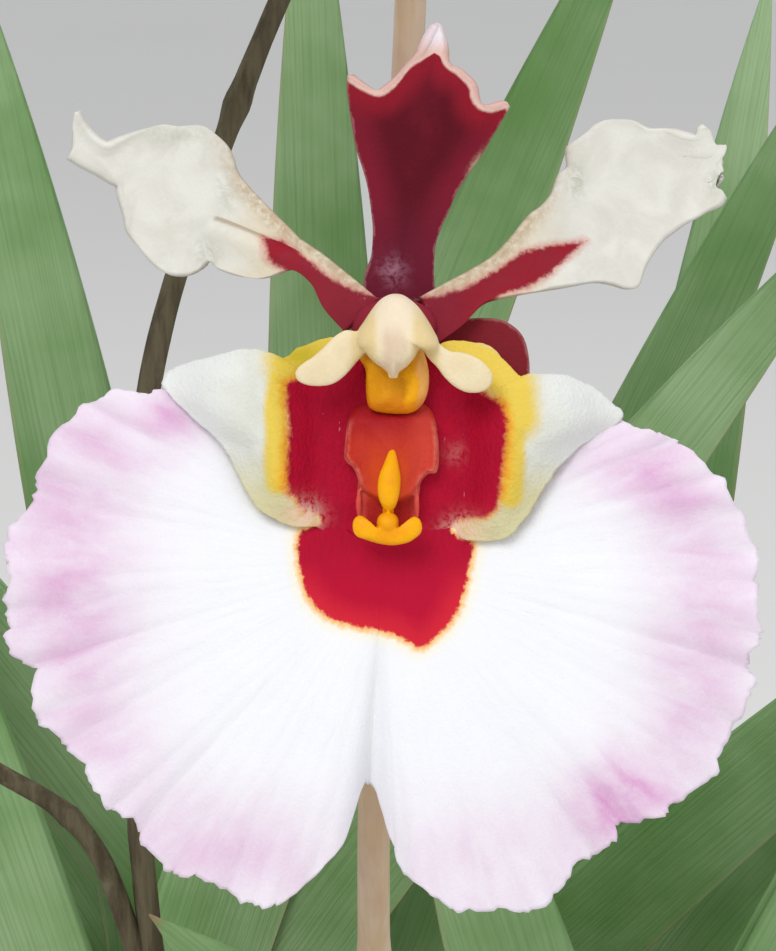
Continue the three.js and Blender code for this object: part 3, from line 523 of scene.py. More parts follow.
PAD_OUTLINE = [
    (-1.3, 1.8), (-1.05, 2.15), (-0.5, 2.3), (0.3, 2.2), (0.9, 2.3), (1.25, 2.45), (1.5, 1.9), (1.66, 1.2),
    (1.65, 0.55), (1.52, 0.05), (1.24, -0.36), (0.85, -0.56), (0.34, -0.6), (-0.2, -0.56), (-0.68, -0.46),
    (-0.95, -0.2), (-1.03, 0.45), (-1.05, 1.3),
]
CAP_HUB = (0.3, 2.8)
CAP_OUTLINE = [
    (-1.4, 2.9), (-1.1, 3.38), (-0.76, 3.89), (-0.41, 4.29), (-0.07, 4.49), (0.21, 4.54), (0.56, 4.49),
    (0.95, 4.23), (1.29, 3.89), (1.64, 3.38), (1.87, 2.98), (2.06, 2.58), (2.05, 2.2), (1.62, 2.05),
    (1.3, 2.2), (1.07, 1.84), (0.73, 1.44), (0.35, 1.15), (0.12, 0.92), (-0.1, 1.18), (-0.35, 1.38),
    (-0.76, 1.67), (-1.12, 2.1), (-1.4, 2.35),
]
LEFT_WING_HUB = (-2.3, 1.75)
LEFT_WING = [
    (-1.45, 2.95), (-1.88, 2.99), (-2.35, 2.74), (-2.78, 2.31), (-3.25, 1.88), (-3.76, 1.54), (-4.05, 1.2),
    (-3.97, 0.85), (-3.59, 0.64), (-2.99, 0.58), (-2.39, 0.7), (-1.88, 1.08), (-1.45, 1.58), (-1.0, 2.1),
    (-0.75, 2.65), (-1.0, 2.99),
]
RIGHT_WING_HUB = (2.9, 1.25)
RIGHT_WING = [
    (2.1, 2.4), (2.56, 2.1), (3.12, 2.03), (3.7, 1.82), (4.19, 1.42), (4.4, 1.0), (4.27, 0.58),
    (3.85, 0.32), (3.28, 0.32), (2.78, 0.55), (2.35, 0.93), (2.0, 1.4), (1.62, 1.8), (1.35, 2.3),
    (1.6, 2.7),
]


# Soft patches of colour and of painted shade, as their centre, half widths and strength
BLUSH_PATCHES = (
    ((-9.2, -0.8), (1.3, 1.6), 0.85), ((-13.4, -6.0), (3.4, 4.8), 0.75), ((-12.0, -1.5), (3.0, 2.0), 0.42),
    ((-13.6, -10.5), (3.2, 3.4), 0.5), ((9.6, -2.8), (2.6, 1.8), 0.8), ((13.3, -8.6), (2.7, 4.6), 0.68),
    ((9.9, -17.0), (2.2, 1.9), 1.25), ((-6.8, -19.2), (4.4, 2.6), 0.66), ((4.2, -19.4), (4.4, 2.8), 0.45),
    ((-11.8, -15.0), (2.6, 2.8), 0.45), ((12.8, -13.6), (2.8, 2.8), 0.46), ((12.2, -4.2), (1.8, 2.0), 0.5),
)
# Grey marks along the petals' edges, and painted shade at their folds and notches
PETAL_MARKS_AND_FOLD_SHADES = (
    ((7.9, 9.4), (0.4, 0.8), 0.8), ((-7.8, 6.3), (0.5, 0.45), 0.9), ((13.8, 9.2), (0.35, 0.6), 0.8),
    ((-9.0, 11.3), (1.6, 0.4), 0.5), ((-6.9, 9.0), (0.5, 1.4), 0.5),
)
SIDELOBE_MOTTLES = (
    ((-3.75, -4.9), (0.75, 0.6), 1.0), ((3.1, -5.6), (0.8, 0.6), 1.0), ((2.8, -2.3), (0.5, 0.45), 0.17),
)

# The golden bands of the side lobes, as their half width and the points of their middle line
GOLD_BANDS = (
    (0.37, [(-4.75, 1.0), (-4.92, -0.3), (-4.86, -1.6), (-4.85, -2.6), (-4.75, -3.5)]),
    (0.95, [(-4.3, 1.5), (-3.3, 1.9), (-2.4, 2.1)]),
    (0.37, [(5.1, -4.1), (5.25, -2.5), (5.35, -0.9)]),
    (0.85, [(5.4, -0.8), (5.3, 0.4), (4.4, 1.3), (3.2, 1.9), (2.2, 2.2)]),
)
PETAL_CREASE = [(-7.4, 7.6), (-6.4, 7.25), (-5.3, 6.8), (-4.4, 6.2)]
RIDGE_SPINE = [
    (0.1, -1.85, -1.97), (0.08, -2.15, -2.35), (0.03, -2.35, -2.95), (-0.04, -2.4, -3.6),
    (-0.06, -2.35, -4.1), (-0.05, -2.2, -4.4), (-0.05, -2.1, -4.58),
]
RIDGE_RADII = [0.05, 0.19, 0.32, 0.45, 0.48, 0.42, 0.26]


def seen(x, y, z):
    """Points at depth y that, from straight in front, stand on their drawn place."""
    spread = 1 + np.asarray(y) / VIEW_DISTANCE
    middle_x, middle_z = VIEW_CENTRE
    return stacked(middle_x + (x - middle_x) * spread, y, middle_z + (z - middle_z) * spread)


def blade(left, right, end, across, along):
    """x, z places of a blade between two edges, from its base to the line of its tip."""
    u = np.linspace(0, 1, across + 1)[None, :, None]
    v = np.linspace(0, 1, along + 1)[:, None]
    a, b = even_spline(left, along + 1)[:, None], even_spline(right, along + 1)[:, None]
    flat = a + (b - a) * u
    if end is not None:
        flat = flat + (even_spline(end, across + 1) - flat[-1])[None] * (ease(0.5, 1, v) ** 2)[..., None]
    return flat[..., 0], flat[..., 1], u[..., 0].repeat(along + 1, 0), v.repeat(across + 1, 1)


def fan(hub, margin, around, out, frill=0.0, waves=0):
    """x, z places of a lobe that spreads from a hub to its margin."""
    u = np.linspace(0, 1, around + 1)
    edge = spline(margin, u, closed=True)
    v = np.linspace(0, 1, out + 1)[:, None] ** 0.8
    ripple = np.sin(u * waves * 2 * np.pi) + 0.7 * np.sin(u * round(waves * 1.7) * 2 * np.pi + 1)
    ripple = ripple + 0.6 * np.sin(u * round(waves * 2.9) * 2 * np.pi + 2)
    reach = 1 + frill * v**8 * ripple
    x = hub[0] + v * reach * (edge[:, 0] - hub[0])
    z = hub[1] + v * reach * (edge[:, 1] - hub[1])
    return x, z, v.repeat(around + 1, 1), np.arctan2(z - hub[1], x - hub[0])


def add_cushion(bm, hub, outline, middle, half, fullness=0.5, around=96, out=26):
    """A closed, padded shape inside an outline: the middle of its thickness and half of it may vary."""
    edge = spline(outline, np.linspace(0, 1, around + 1), closed=True)
    s = np.linspace(0, np.pi, out + 1)[:, None]
    reach = np.sin(s) ** fullness
    x = hub[0] + reach * (edge[:, 0] - hub[0])
    z = hub[1] + reach * (edge[:, 1] - hub[1])
    middle, half = (value(x, z) if callable(value) else value for value in (middle, half))
    add_sheet(bm, seen(x, middle - np.cos(s) * half, z), wrapped=True)


# The blooms, each with its own place

BLOOMS = [
    {"at": (0, -60, 138), "turn": 0, "up": 12, "roll": 0, "size": 1.0, "mirror": False, "phase": 0.4},
    {"at": (-19, -62, 187), "turn": -16, "up": 8, "roll": -7, "size": 0.97, "mirror": True, "phase": 1.7},
    {"at": (20, -74, 207), "turn": 18, "up": 4, "roll": 5, "size": 0.96, "mirror": False, "phase": 2.9},
    {"at": (-18, -87, 228), "turn": -20, "up": -2, "roll": 3, "size": 0.93, "mirror": False, "phase": 4.1},
    {"at": (17, -101, 246), "turn": 15, "up": -6, "roll": -9, "size": 0.88, "mirror": True, "phase": 5.2},
]
BLOOM_NUMBERS = range(1, len(BLOOMS) + 1)


def bloom_matrix(bloom):
    """The bloom's own axes: x to its right from the front, y back, z up."""
    size = bloom["size"]
    return (
        Matrix.Translation(bloom["at"])
        @ Matrix.Rotation(math.radians(bloom["turn"]), 4, "Z")
        @ Matrix.Rotation(math.radians(-bloom["up"]), 4, "X")
        @ Matrix.Rotation(math.radians(bloom["roll"]), 4, "Y")
        @ Matrix.Diagonal((-size if bloom["mirror"] else size, size, size, 1))
    )


def finish_bloom_piece(bm, number, part, materials, thickness=None):
    """Puts a bloom's piece in place. Each point keeps its place in its own bloom for the materials."""
    shift = Vector((11.0 * number, 0, 5.0 * number))
    layer = bm.verts.layers.float_vector.new("place")
    for vertex in bm.verts:
        vertex[layer] = vertex.co + shift
    matrix = bloom_matrix(BLOOMS[number - 1])
    piece = finish_piece(bm, f"bloom_{number}_{part}_skin", f"bloom_{number}_{part}", materials, matrix)
    if thickness is not None:
        solidify = piece.modifiers.new("thickness", "SOLIDIFY")
        solidify.thickness = thickness
        solidify.offset = 0
    return piece


def steps(count, number):
    return count if number == 1 else max(6, round(count * 0.5))


def build_sepals(number, material):
    bm = bmesh.new()
    for left, right, end, curl in (
        (UPPER_SEPAL_LEFT, UPPER_SEPAL_RIGHT, UPPER_SEPAL_TOP, 1.2),
        (RIGHT_SEPAL_UPPER, RIGHT_SEPAL_LOWER, None, 0.5),
        (LEFT_SEPAL_UPPER, LEFT_SEPAL_LOWER, None, 0.7),
    ):
        across, along = (52, 80) if end else (24, 40)
        x, z, u, v = blade(left, right, end, steps(across, number), steps(along, number))
        y = 2.3 + curl * v
        rim = np.full(x.shape, 9.0)
        if end is not None:
            y = y - 2.2 * v * v + 0.5 * (2 * u - 1) ** 2 * v
            y = y + 0.14 * np.sin(x * 2.6 + 1) * ease(0.55, 1, v) + 0.1 * bell(u - 0.45, 0.1) * (1 - v)
            rim = distance_to_line(x, z, even_spline(end, 60)) - 1.3 * ease(14.5, 15.5, z)
        else:
            y = y + 0.12 * bell(u - 0.5, 0.1)
        edge = depth_inside(x, z, left + (end or []) + right[::-1])
        upright = 1.0 if end else 0.0
        fields = {
            "edge": np.maximum(edge, 0),
            "rim": rim,
            "rise": z,
            "cream": spot(x, z, (3.75, 9.7), (0.35, 0.75)) * ease(0.35, 0.08, edge),
            "upright": np.full(x.shape, upright),
            "frost": spot(x, z, (0.12, 5.45), (0.55, 0.6)) * upright,
        }
        add_sheet(bm, seen(x, y, z), fields)
    mark(bm, add_lump(bm, (0.1, 2.9, 3.2), (1.6, 1.2, 1.5)), edge=2.0, rim=2.0)
    thickness = bpy.context.scene.orchid_bloom.petal_thickness
    finish_bloom_piece(bm, number, "sepals", [material], thickness)


def build_petals(number, material):
    bm = bmesh.new()
    for upper, lower, end, claw, fold in (
        (LEFT_PETAL_UPPER, LEFT_PETAL_LOWER, LEFT_PETAL_END, LEFT_CLAW, 1.0),
        (RIGHT_PETAL_UPPER, RIGHT_PETAL_LOWER, RIGHT_PETAL_END, RIGHT_CLAW, 0.0),
    ):
        x, z, u, _ = blade(upper, lower, end, steps(48, number), steps(150, number))
        out = np.clip((np.abs(x) - 1) / 12.5, 0, 1)
        y = 0.75 + 2.2 * np.sin(out * 1.75) - 0.35 * (2 * u - 1) ** 2 * out - 0.3 * out**3
        crease = distance_to_line(x, z, PETAL_CREASE)
        below = ease(7.5, 6.8, z + 0.42 * (x + 6.5))
        y = y - fold * (0.55 * below * bell(crease, 1.2) * ease(-8.6, -7.2, x))
        ripple = np.sin(x * 1.7 + z * 2.3) + np.sin(x * 3.1 - z * 1.4 + 1)
        edge = np.maximum(depth_inside(x, z, upper + end[1:-1] + lower[::-1]), 0)
        y = y + 0.025 * ripple * ease(4.0, 7.0, np.abs(x))
        y = y + 0.05 * ease(0.9, 0, edge) * np.sin(2.6 * x - 1.9 * z) * ease(4.5, 7.0, np.abs(x))
        fields = {
            "claw": depth_inside(x, z, claw),
            "upper": distance_to_line(x, z, upper),
            "crease": crease if fold else np.full(x.shape, 9.0),
            "marks_and_fold_shade": sum_of_spots(x, z, PETAL_MARKS_AND_FOLD_SHADES),
            "out": np.abs(x),
        }
        add_sheet(bm, seen(x, y, z), fields)
    mark(bm, add_lump(bm, (0.2, 0.62, 3.2), (1.6, 0.45, 1.0)), claw=1.0, upper=3.0, crease=9.0)
    thickness = bpy.context.scene.orchid_bloom.petal_thickness
    finish_bloom_piece(bm, number, "petals", [material], thickness)


def blush_on_midlobe(x, z, v):
    """How rose the midlobe is: strongest in patches along its margin."""
    patches = sum_of_spots(x, z, BLUSH_PATCHES) * (0.3 + 0.7 * ease(0.4, 0.85, v))
    margin = 0.13 * ease(0.75, 1, v) * ease(1.0, 3.0, np.abs(x + 0.7))
    return np.clip(patches + margin, 0, 1.2)


def build_midlobe(bm, number, heart):
    """The lip's broad frilled lobe, with its notch, its pleats and a tuck under the side lobes."""
    phase = BLOOMS[number - 1]["phase"]
    x, z, v, angle = fan(MIDLOBE_HUB, MIDLOBE_MARGIN, steps(420, number), steps(64, number), 0.005, 71)
    middle = x + 0.1 - (z + 6) * 0.09
    under_lobes = depth_inside(x, z, SIDELOBE_MARGIN)
    crease = (0.2 * bell(middle, 1.0) + 0.1 * bell(middle, 0.3)) * ease(-9.5, -12.5, z)
    pleats = 0.3 * v**3 * (np.sin(11 * angle + phase) + 0.6 * np.sin(19 * angle + 2 * phase))
    frill = 0.15 * v**7 * np.sin(47 * angle + 3 * np.sin(5 * angle)) + 0.04 * v**2 * np.sin(83 * angle)
    tuck = 0.2 * ease(0.0, 0.9, under_lobes + 0.5) * ease(2.6, 4.2, np.abs(x))
    flat = ease(4.4, 2.6, np.abs(x)) * ease(-7.4, -6.0, z)
    y = (1.5 * v**2.2 + pleats + frill) * (1 - flat) + crease + tuck
    down = np.arctan2(x - MIDLOBE_HUB[0], MIDLOBE_HUB[1] - z)
    out = np.hypot(x - MIDLOBE_HUB[0], z - MIDLOBE_HUB[1])
    shadow = 1.3 * bell(under_lobes + 0.05, 0.2) * ease(-1.5, -3.2, z)
    fields = {
        "heart": depth_inside(x, z, heart),
        "blush": blush_on_midlobe(x, z, v),
        "spread": stacked(down, out, np.full_like(out, number)),
        # Painted shade: a grey-green tint along the crease, plus the painted shadow under the side lobes
        "fold": bell(middle, 0.35) * ease(-8.0, -11.0, z) + shadow,
        "rise": z,
    }
    add_sheet(bm, seen(x, y, z), fields, wrapped=True)


def build_sidelobes(bm, number, heart):
    """The lip's two raised side lobes, which meet in its heart."""
    x, z, v, _ = fan(SIDELOBE_HUB, SIDELOBE_MARGIN, steps(240, number), steps(44, number), 0.003, 37)
    side = np.abs(x)
    gold = np.minimum.reduce([distance_to_line(x, z, line) / half for half, line in GOLD_BANDS])
    proud = 0.95 * ease(2.8, 5.2, side) * ease(3.5, -1.5, z)
    back = 1.7 * ease(6.6, 9.6, side) + 0.35 * ease(0.8, 1, v) * ease(5.6, 7.6, side)
    root = (0.42 * ease(-4.0, -5.8, z) + 0.12 * np.maximum(-5.4 - z, 0)) * ease(4.2, 2.6, side)
    hollow = 0.3 * bell(side - 3.3, 0.8) * ease(2, 0, z) * ease(-6, -4, z)
    laid_down = 0.85 * ease(0.72, 1, v) * ease(3.2, 4.6, side) * ease(0.5, -2, z)
    rolled_back = 0.25 * ease(0.8, 1, v) * ease(0, 1, z)
    y = -0.4 - proud + back + root - 0.2 * bell(gold, 0.9) + hollow + laid_down + rolled_back
    fields = {
        "heart": depth_inside(x, z, heart),
        "gold": gold,
        "rise": z,
        "mottle": sum_of_spots(x, z, SIDELOBE_MOTTLES),
        # Painted shade, darkening the top of the left gold band toward olive
        "painted_gold_shade": spot(x, z, (-3.8, 1.8), (1.1, 0.6)),
        "outer": ease(0.55, 0.95, v) * ease(5.6, 7.6, side) * ease(-3.4, -1.4, z),
    }
    add_sheet(bm, seen(x, y, z), fields, material=1, wrapped=True)


def build_lip(number, midlobe_material, sidelobe_material):
    heart = spline(HEART_OUTLINE, np.linspace(0, 1, 140, endpoint=False), closed=True)
    bm = bmesh.new()
    build_midlobe(bm, number, heart)
    build_sidelobes(bm, number, heart)
    thickness = bpy.context.scene.orchid_bloom.lip_thickness
    finish_bloom_piece(bm, number, "lip", [midlobe_material, sidelobe_material], thickness)


def flat_place(vertex):
    """Where a point stands among the drawn outlines."""
    spread = 1 + vertex.co.y / VIEW_DISTANCE
    middle_x, middle_z = VIEW_CENTRE
    return middle_x + (vertex.co.x - middle_x) / spread, middle_z + (vertex.co.z - middle_z) / spread


def keep_drawing(bm, edge_outline=None):
    """Keeps each point's drawn place, and how deep it stands in an outline, for the materials."""
    layer = bm.verts.layers.float_vector.new("part")
    flat = np.array([flat_place(vertex) for vertex in bm.verts])
    for vertex, (x, z) in zip(bm.verts, flat):
        vertex[layer] = (x, vertex.co.y, z)
    if edge_outline is not None:
        edge = bm.verts.layers.float.new("edge")
        for vertex, depth in zip(bm.verts, depth_inside(flat[:, 0], flat[:, 1], edge_outline)):
            vertex[edge] = depth


def callus_middle(x, z):
    """The callus is a low roof with a raised margin."""
    inside = depth_inside(x, z, CALLUS_OUTLINE)
    flanks = 0.16 * bell(np.abs(x - 0.05) - 1.15, 0.4) * ease(-0.6, -1.6, z)
    rim = 0.2 * bell(inside - 0.14, 0.15) * ease(-0.5, -1.4, z)
    return -1.05 - 0.5 * bell(x - 0.05, 0.8) * ease(0, -2.5, z) - rim + flanks + 0.55 * ease(-1.0, 0.0, z)


def tooth_middle(x, z):
    return -1.95 - 0.15 * np.abs(x + 0.1)


def cap_middle(x, z):
    return -2.35 - 1.15 * ease(3.9, 1.1, z)


def cap_half(x, z):
    """Half of the cap's thickness, less its two shallow grooves."""
    return 1.45 - 0.12 * spot(x, z, (-0.3, 2.5), (0.2, 0.7)) - 0.1 * spot(x, z, (0.75, 2.2), (0.2, 0.5))


def wing_middle(x, z):
    return -2.75 - 0.1 * np.abs(x - 0.3) + 0.1 * bell(np.abs(x) - 3.2, 0.7)


def pad_half(x, z):
    """Half of the pad's thickness, with its upright ribs."""
    ribs = 0.09 * np.cos(5.6 * (x - 0.95)) * ease(-0.4, 0.1, z)
    return 0.76 + ribs - 0.15 * ease(0.0, -0.5, z) - 0.1 * ease(1.1, 1.6, x)


def build_crest(number, body_material, gold_material):
    voxel = 0.055 if number == 1 else 0.11
    bm, body, ridge = bmesh.new(), bmesh.new(), bmesh.new()
    add_cushion(body, CALLUS_HUB, CALLUS_OUTLINE, callus_middle, 0.7, 0.22)
    add_cushion(body, FOOT_HUB, FOOT_OUTLINE, -0.6, 0.6, 0.25)
    for x in (-1.3, 1.14):
        line = even_spline([(x, -1.3, -3.8), (x - 0.02, -1.35, -4.4), (x, -1.3, -5.05)], 16)
        add_tube(body, line, 0.13 * np.sin(np.linspace(0.5, 2.6, 16)), 12)
    add_mesh(bm, melted(body, voxel), 0)
    thick = spline(np.array(RIDGE_RADII)[:, None], np.linspace(0, 1, 40))[:, 0]
    add_tube(ridge, even_spline(RIDGE_SPINE, 40), thick, 20)
    add_lump(ridge, (-0.08, -1.5, -4.7), (0.24, 0.6, 0.35))
    add_lump(ridge, (-0.1, -2.1, -5.2), (0.47, 0.5, 0.46))
    add_cushion(ridge, TOOTH_HUB, TOOTH_OUTLINE, tooth_middle, 0.42)
    add_mesh(bm, melted(ridge, voxel), 1)
    keep_drawing(bm, CALLUS_OUTLINE)
    finish_bloom_piece(bm, number, "crest", [body_material, gold_material])


def build_column(number, cream_material, pad_material):
    voxel = 0.06 if number == 1 else 0.12
    bm, body, pad = bmesh.new(), bmesh.new(), bmesh.new()
    add_cushion(body, CAP_HUB, CAP_OUTLINE, cap_middle, cap_half, 0.75)
    add_lump(body, (0.3, -1.2, 2.8), (1.05, 1.5, 1.0))
    for x in (0.02, 0.24):
        add_lump(body, (x, -3.55, 0.98), (0.1, 0.16, 0.2))
    for hub, outline in ((LEFT_WING_HUB, LEFT_WING), (RIGHT_WING_HUB, RIGHT_WING)):
        add_cushion(body, hub, outline, wing_middle, 0.26, 0.42)
    add_mesh(bm, melted(body, voxel, 3), 0)
    add_cushion(pad, PAD_HUB, PAD_OUTLINE, -1.75, pad_half, 0.35)
    add_mesh(bm, melted(pad, voxel), 1)
    keep_drawing(bm)
    finish_bloom_piece(bm, number, "column", [cream_material, pad_material])


# Finishes of the blooms


def heart_paint(paint, ragged):
    """The heart's red, deep on the side lobes and brighter low on the tongue."""
    s = bpy.context.scene.orchid_bloom
    rise = paint.kept("rise")
    streaks = paint.noise(2.6, 5.0, 0.7, over=paint.place.stretched(2.6, 1.0, 0.7))
    flecks = paint.noise(1.6, 2.0, over=paint.place.stretched(3.4, 1.0, 1.3))
    return paint.coats(
        s.heart_red,
        ((0.445, 0.006, 0.03), paint.noise(0.9, 4.0).step(0.3, 0.72)),
        ((0.31, 0.004, 0.025), streaks.step(0.44, 0.66) * 0.45),
        ((0.48, 0.007, 0.036), rise.step(-5.6, -8.6) * 0.7),
        ((0.64, 0.022, 0.04), ragged.step(1.3, 0.1) * rise.step(-6.5, -8.8) * 0.8),
        ((0.85, 0.35, 0.4), flecks.step(0.74, 0.8) * 0.5),
    )


def midlobe_finish():
    s = bpy.context.scene.orchid_bloom
    paint = Finish("lip midlobe", 0.6, 0.05, in_bloom=True)
    spread, ragged = paint.kept("spread", "Vector"), paint.ragged("heart", 3.2, 0.5)
    veins = paint.noise(1.0, 5.0, 0.55, 0.3, over=spread.stretched(11.0, 0.3, 1.0))
    clouds, grain = paint.noise(0.5, 4.0, 0.55), paint.noise(7.0, 4.0, 0.6)
    patchy = (veins * 1.3 + clouds * 0.35 + grain * 0.25).step(0.55, 1.45) * 0.62 + 0.38
    skin = paint.coats(
        s.lip_white,
        ((0.845, 0.85, 0.885), clouds.step(0.3, 0.75)),
        # Painted shade: the crease and the strip under the side lobes tinted grey-green
        ((0.62, 0.64, 0.55), paint.kept("fold") * 0.2),
        (s.lip_blush, paint.kept("blush") * patchy),
        ((0.92, 0.82, 0.45), ragged.step(-0.8, -0.15) * 0.4),
        ((0.9, 0.46, 0.1), ragged.step(-0.3, -0.04) * 0.8),
        (heart_paint(paint, ragged), ragged.step(-0.06, 0.1)),
    )
    return paint.finished(skin, (veins + grain * 0.35) * spread.axis("Y").step(1.5, 7.0), 0.0002)


def sidelobe_finish():
    s = bpy.context.scene.orchid_bloom
    paint = Finish("lip side lobes", 0.55, 0.05, in_bloom=True)
    clouds, grain = paint.noise(0.6, 4.0, 0.55), paint.noise(6.0, 4.0, 0.6)
    ragged, mottle = paint.ragged("heart", 3.2, 0.5), paint.kept("mottle")
    gold = paint.coats(
        (0.77, 0.57, 0.09),
        ((0.8, 0.42, 0.03), ragged.step(-0.4, -0.04)),
        # Painted shade on the top of the left gold band
        ((0.5, 0.4, 0.02), paint.kept("painted_gold_shade") * 0.85),
    )
    skin = paint.coats(
        s.shoulder,
        ((0.74, 0.75, 0.69), clouds.step(0.3, 0.7)),
        ((0.65, 0.6, 0.35), (paint.kept("rise") + clouds * 1.6).step(-1.2, -3.6)),
        ((0.79, 0.8, 0.79), paint.kept("outer") * 0.85),
        (gold, (paint.kept("gold") + (grain - 0.5) * 0.6).step(1.6, 0.5)),
        ((0.76, 0.52, 0.22), mottle * 0.6),
        ((0.76, 0.25, 0.04), ragged.step(-0.22, 0.02) * 0.7),
        (heart_paint(paint, ragged), ragged.step(-0.08, 0.14)),
        ((0.8, 0.55, 0.45), mottle * paint.noise(3.6, 4.0, 0.7).step(0.36, 0.58)),
    )
    return paint.finished(skin, grain + clouds * 1.5, 0.0002)


def petal_finish():
    s = bpy.context.scene.orchid_bloom
    paint = Finish("petal", 0.62, 0.08, in_bloom=True)
    out, upper, ragged = paint.kept("out"), paint.kept("upper"), paint.ragged("claw", 3.0, 0.5)
    clouds, grain = paint.noise(0.5, 5.0, 0.6, 0.5), paint.noise(6.0, 4.0, 0.65)
    streaks = paint.noise(1.8, 5.0, 0.75, 0.8).step(0.36, 0.6)
    strip = upper.step(0.9, 0.05) * out.step(8.5, 5.5)
    frost = grain.step(0.55, 0.75) * upper.step(0.7, 0.1) * out.step(4.5, 3.0)
    red = paint.coats(
        (0.24, 0.018, 0.036),
        ((0.3, 0.01, 0.022), out.step(2.2, 4.4)),
        ((0.26, 0.02, 0.034), clouds.step(0.3, 0.7)),
    )
    skin = paint.coats(
        s.petal,
        ((0.73, 0.72, 0.66), clouds.step(0.35, 0.65)),
        # Grey marks along the edges, and painted shade at the petals' folds and notches
        ((0.36, 0.37, 0.29), paint.kept("marks_and_fold_shade") * streaks * 0.75),
        ((0.72, 0.62, 0.43), (out + clouds * 3.0).step(9.2, 6.2) * 0.7),
        ((0.44, 0.3, 0.17), strip * paint.noise(3.2, 4.0, 0.7).step(0.3, 0.65) * 0.7),
        # A dark brown line along the left petal's crease: painted shade of its fold
        ((0.34, 0.25, 0.16), paint.kept("crease").step(0.2, 0.02) * 0.7),
        ((0.62, 0.24, 0.2), ragged.step(-0.35, 0.0) * 0.6),
        (red, ragged.step(-0.1, 0.12)),
        ((0.7, 0.42, 0.42), frost * 0.5),
    )
    return paint.finished(skin, grain + clouds, 0.0001, 0.3)


def sepal_finish():
    s = bpy.context.scene.orchid_bloom
    paint = Finish("sepal", 0.55, 0.05, in_bloom=True)
    clouds, grain = paint.noise(0.7, 5.0, 0.6), paint.noise(7.0, 4.0, 0.7)
    edge, rim, rise = paint.ragged("edge", 2.0, 0.4), paint.ragged("rim", 3.0, 0.16), paint.kept("rise")
    frost = paint.noise(2.0, 5.0, 0.75).step(0.38, 0.62) * paint.kept("frost")
    skin = paint.coats(
        (0.105, 0.007, 0.015),
        (s.crimson, edge.step(1.5, 0.2)),
        ((0.2, 0.012, 0.026), clouds.step(0.45, 0.75) * 0.4),
        ((0.3, 0.012, 0.024), paint.kept("rim").step(1.6, 0.2) * 0.8),
        ((0.13, 0.012, 0.03), rise.step(9.5, 6.0) * 0.7),
        ((0.24, 0.02, 0.03), paint.kept("upright").step(0.9, 0.1)),
        ((0.77, 0.52, 0.45), rim.step(0.27, 0.13)),
        ((0.85, 0.8, 0.86), rim.step(0.3, -0.3) * rise.step(14.7, 15.7)),
        ((0.45, 0.22, 0.3), frost * 0.7),
        ((0.55, 0.3, 0.28), edge.step(0.12, 0.02) * 0.35),
        ((0.62, 0.5, 0.36), paint.kept("cream") * grain.step(0.3, 0.55)),
    )
    return paint.finished(skin, grain, 0.00012)


def crest_finish():
    paint = Finish("crest body", 0.42, 0.08, in_bloom=True)
    x, z = paint.drawn()
    side = abs(x + 0.05)
    uneven = z + (paint.noise(1.2, 4.0, 0.6) - 0.5) * 0.8
    # A pale salmon line along the raised side margins: a painted highlight
    margin = paint.ragged("edge", 2.2, 0.2).step(0.3, 0.04) * paint.noise(2.6, 4.0, 0.7).step(0.3, 0.62)
    margin = margin * side.step(0.8, 1.3) * z.step(-0.6, -1.4)
    skin = paint.coats(
        # Darkest at the top, a painted shade under the pad; the next coats lighten it lower down
        (0.36, 0.011, 0.016),
        ((0.5, 0.034, 0.019), uneven.step(-0.7, -2.0)),
        ((0.6, 0.062, 0.014), uneven.step(-1.6, -3.0) * side.step(1.3, 0.5)),
        ((0.64, 0.07, 0.045), x.step(0.4, 1.4) * 0.5),
        # Painted highlight along the raised side margins
        ((0.8, 0.26, 0.2), margin * 0.6),
        ((0.4, 0.018, 0.016), z.step(-4.0, -4.5)),
        ((0.66, 0.085, 0.07), z.step(-3.7, -4.1) * side.step(0.85, 1.15) * 0.85),
    )
    return paint.finished(skin, paint.noise(6.0, 4.0, 0.6), 0.00012)


def gold_finish():
    s = bpy.context.scene.orchid_bloom
    paint = Finish("gold crest", 0.34, 0.12, in_bloom=True)
    skin = paint.coats(s.gold, ((0.84, 0.33, 0.004), paint.noise(1.0, 4.0).step(0.35, 0.7)))
    return paint.finished(skin, paint.noise(5.0, 4.0, 0.6), 0.0001)


def pad_finish():
    s = bpy.context.scene.orchid_bloom
    paint = Finish("gold pad", 0.34, 0.14, in_bloom=True)
    uneven = (paint.noise(1.5, 4.0, 0.6) - 0.5) * 0.7
    x, z = (way + uneven for way in paint.drawn())
    skin = paint.coats(
        (0.64, 0.25, 0.002),
        ((0.72, 0.32, 0.004), paint.noise(1.0, 4.0).step(0.35, 0.7)),
        ((0.62, 0.245, 0.001), abs(x - 0.28).step(0.5, 0.1) * 0.55),
        # A painted highlight: bright gold right of the middle
        (s.gold, x.step(0.5, 0.9) * z.step(1.6, 0.8) * 0.95),
        ((0.86, 0.44, 0.12), x.step(1.05, 1.3)),
        ((0.66, 0.17, 0.004), z.step(0.35, -0.35) * 0.7),
        ((0.8, 0.46, 0.03), z.step(1.5, 2.1) * 0.6),
    )
    return paint.finished(skin, paint.noise(4.0, 4.0, 0.6), 0.00015)


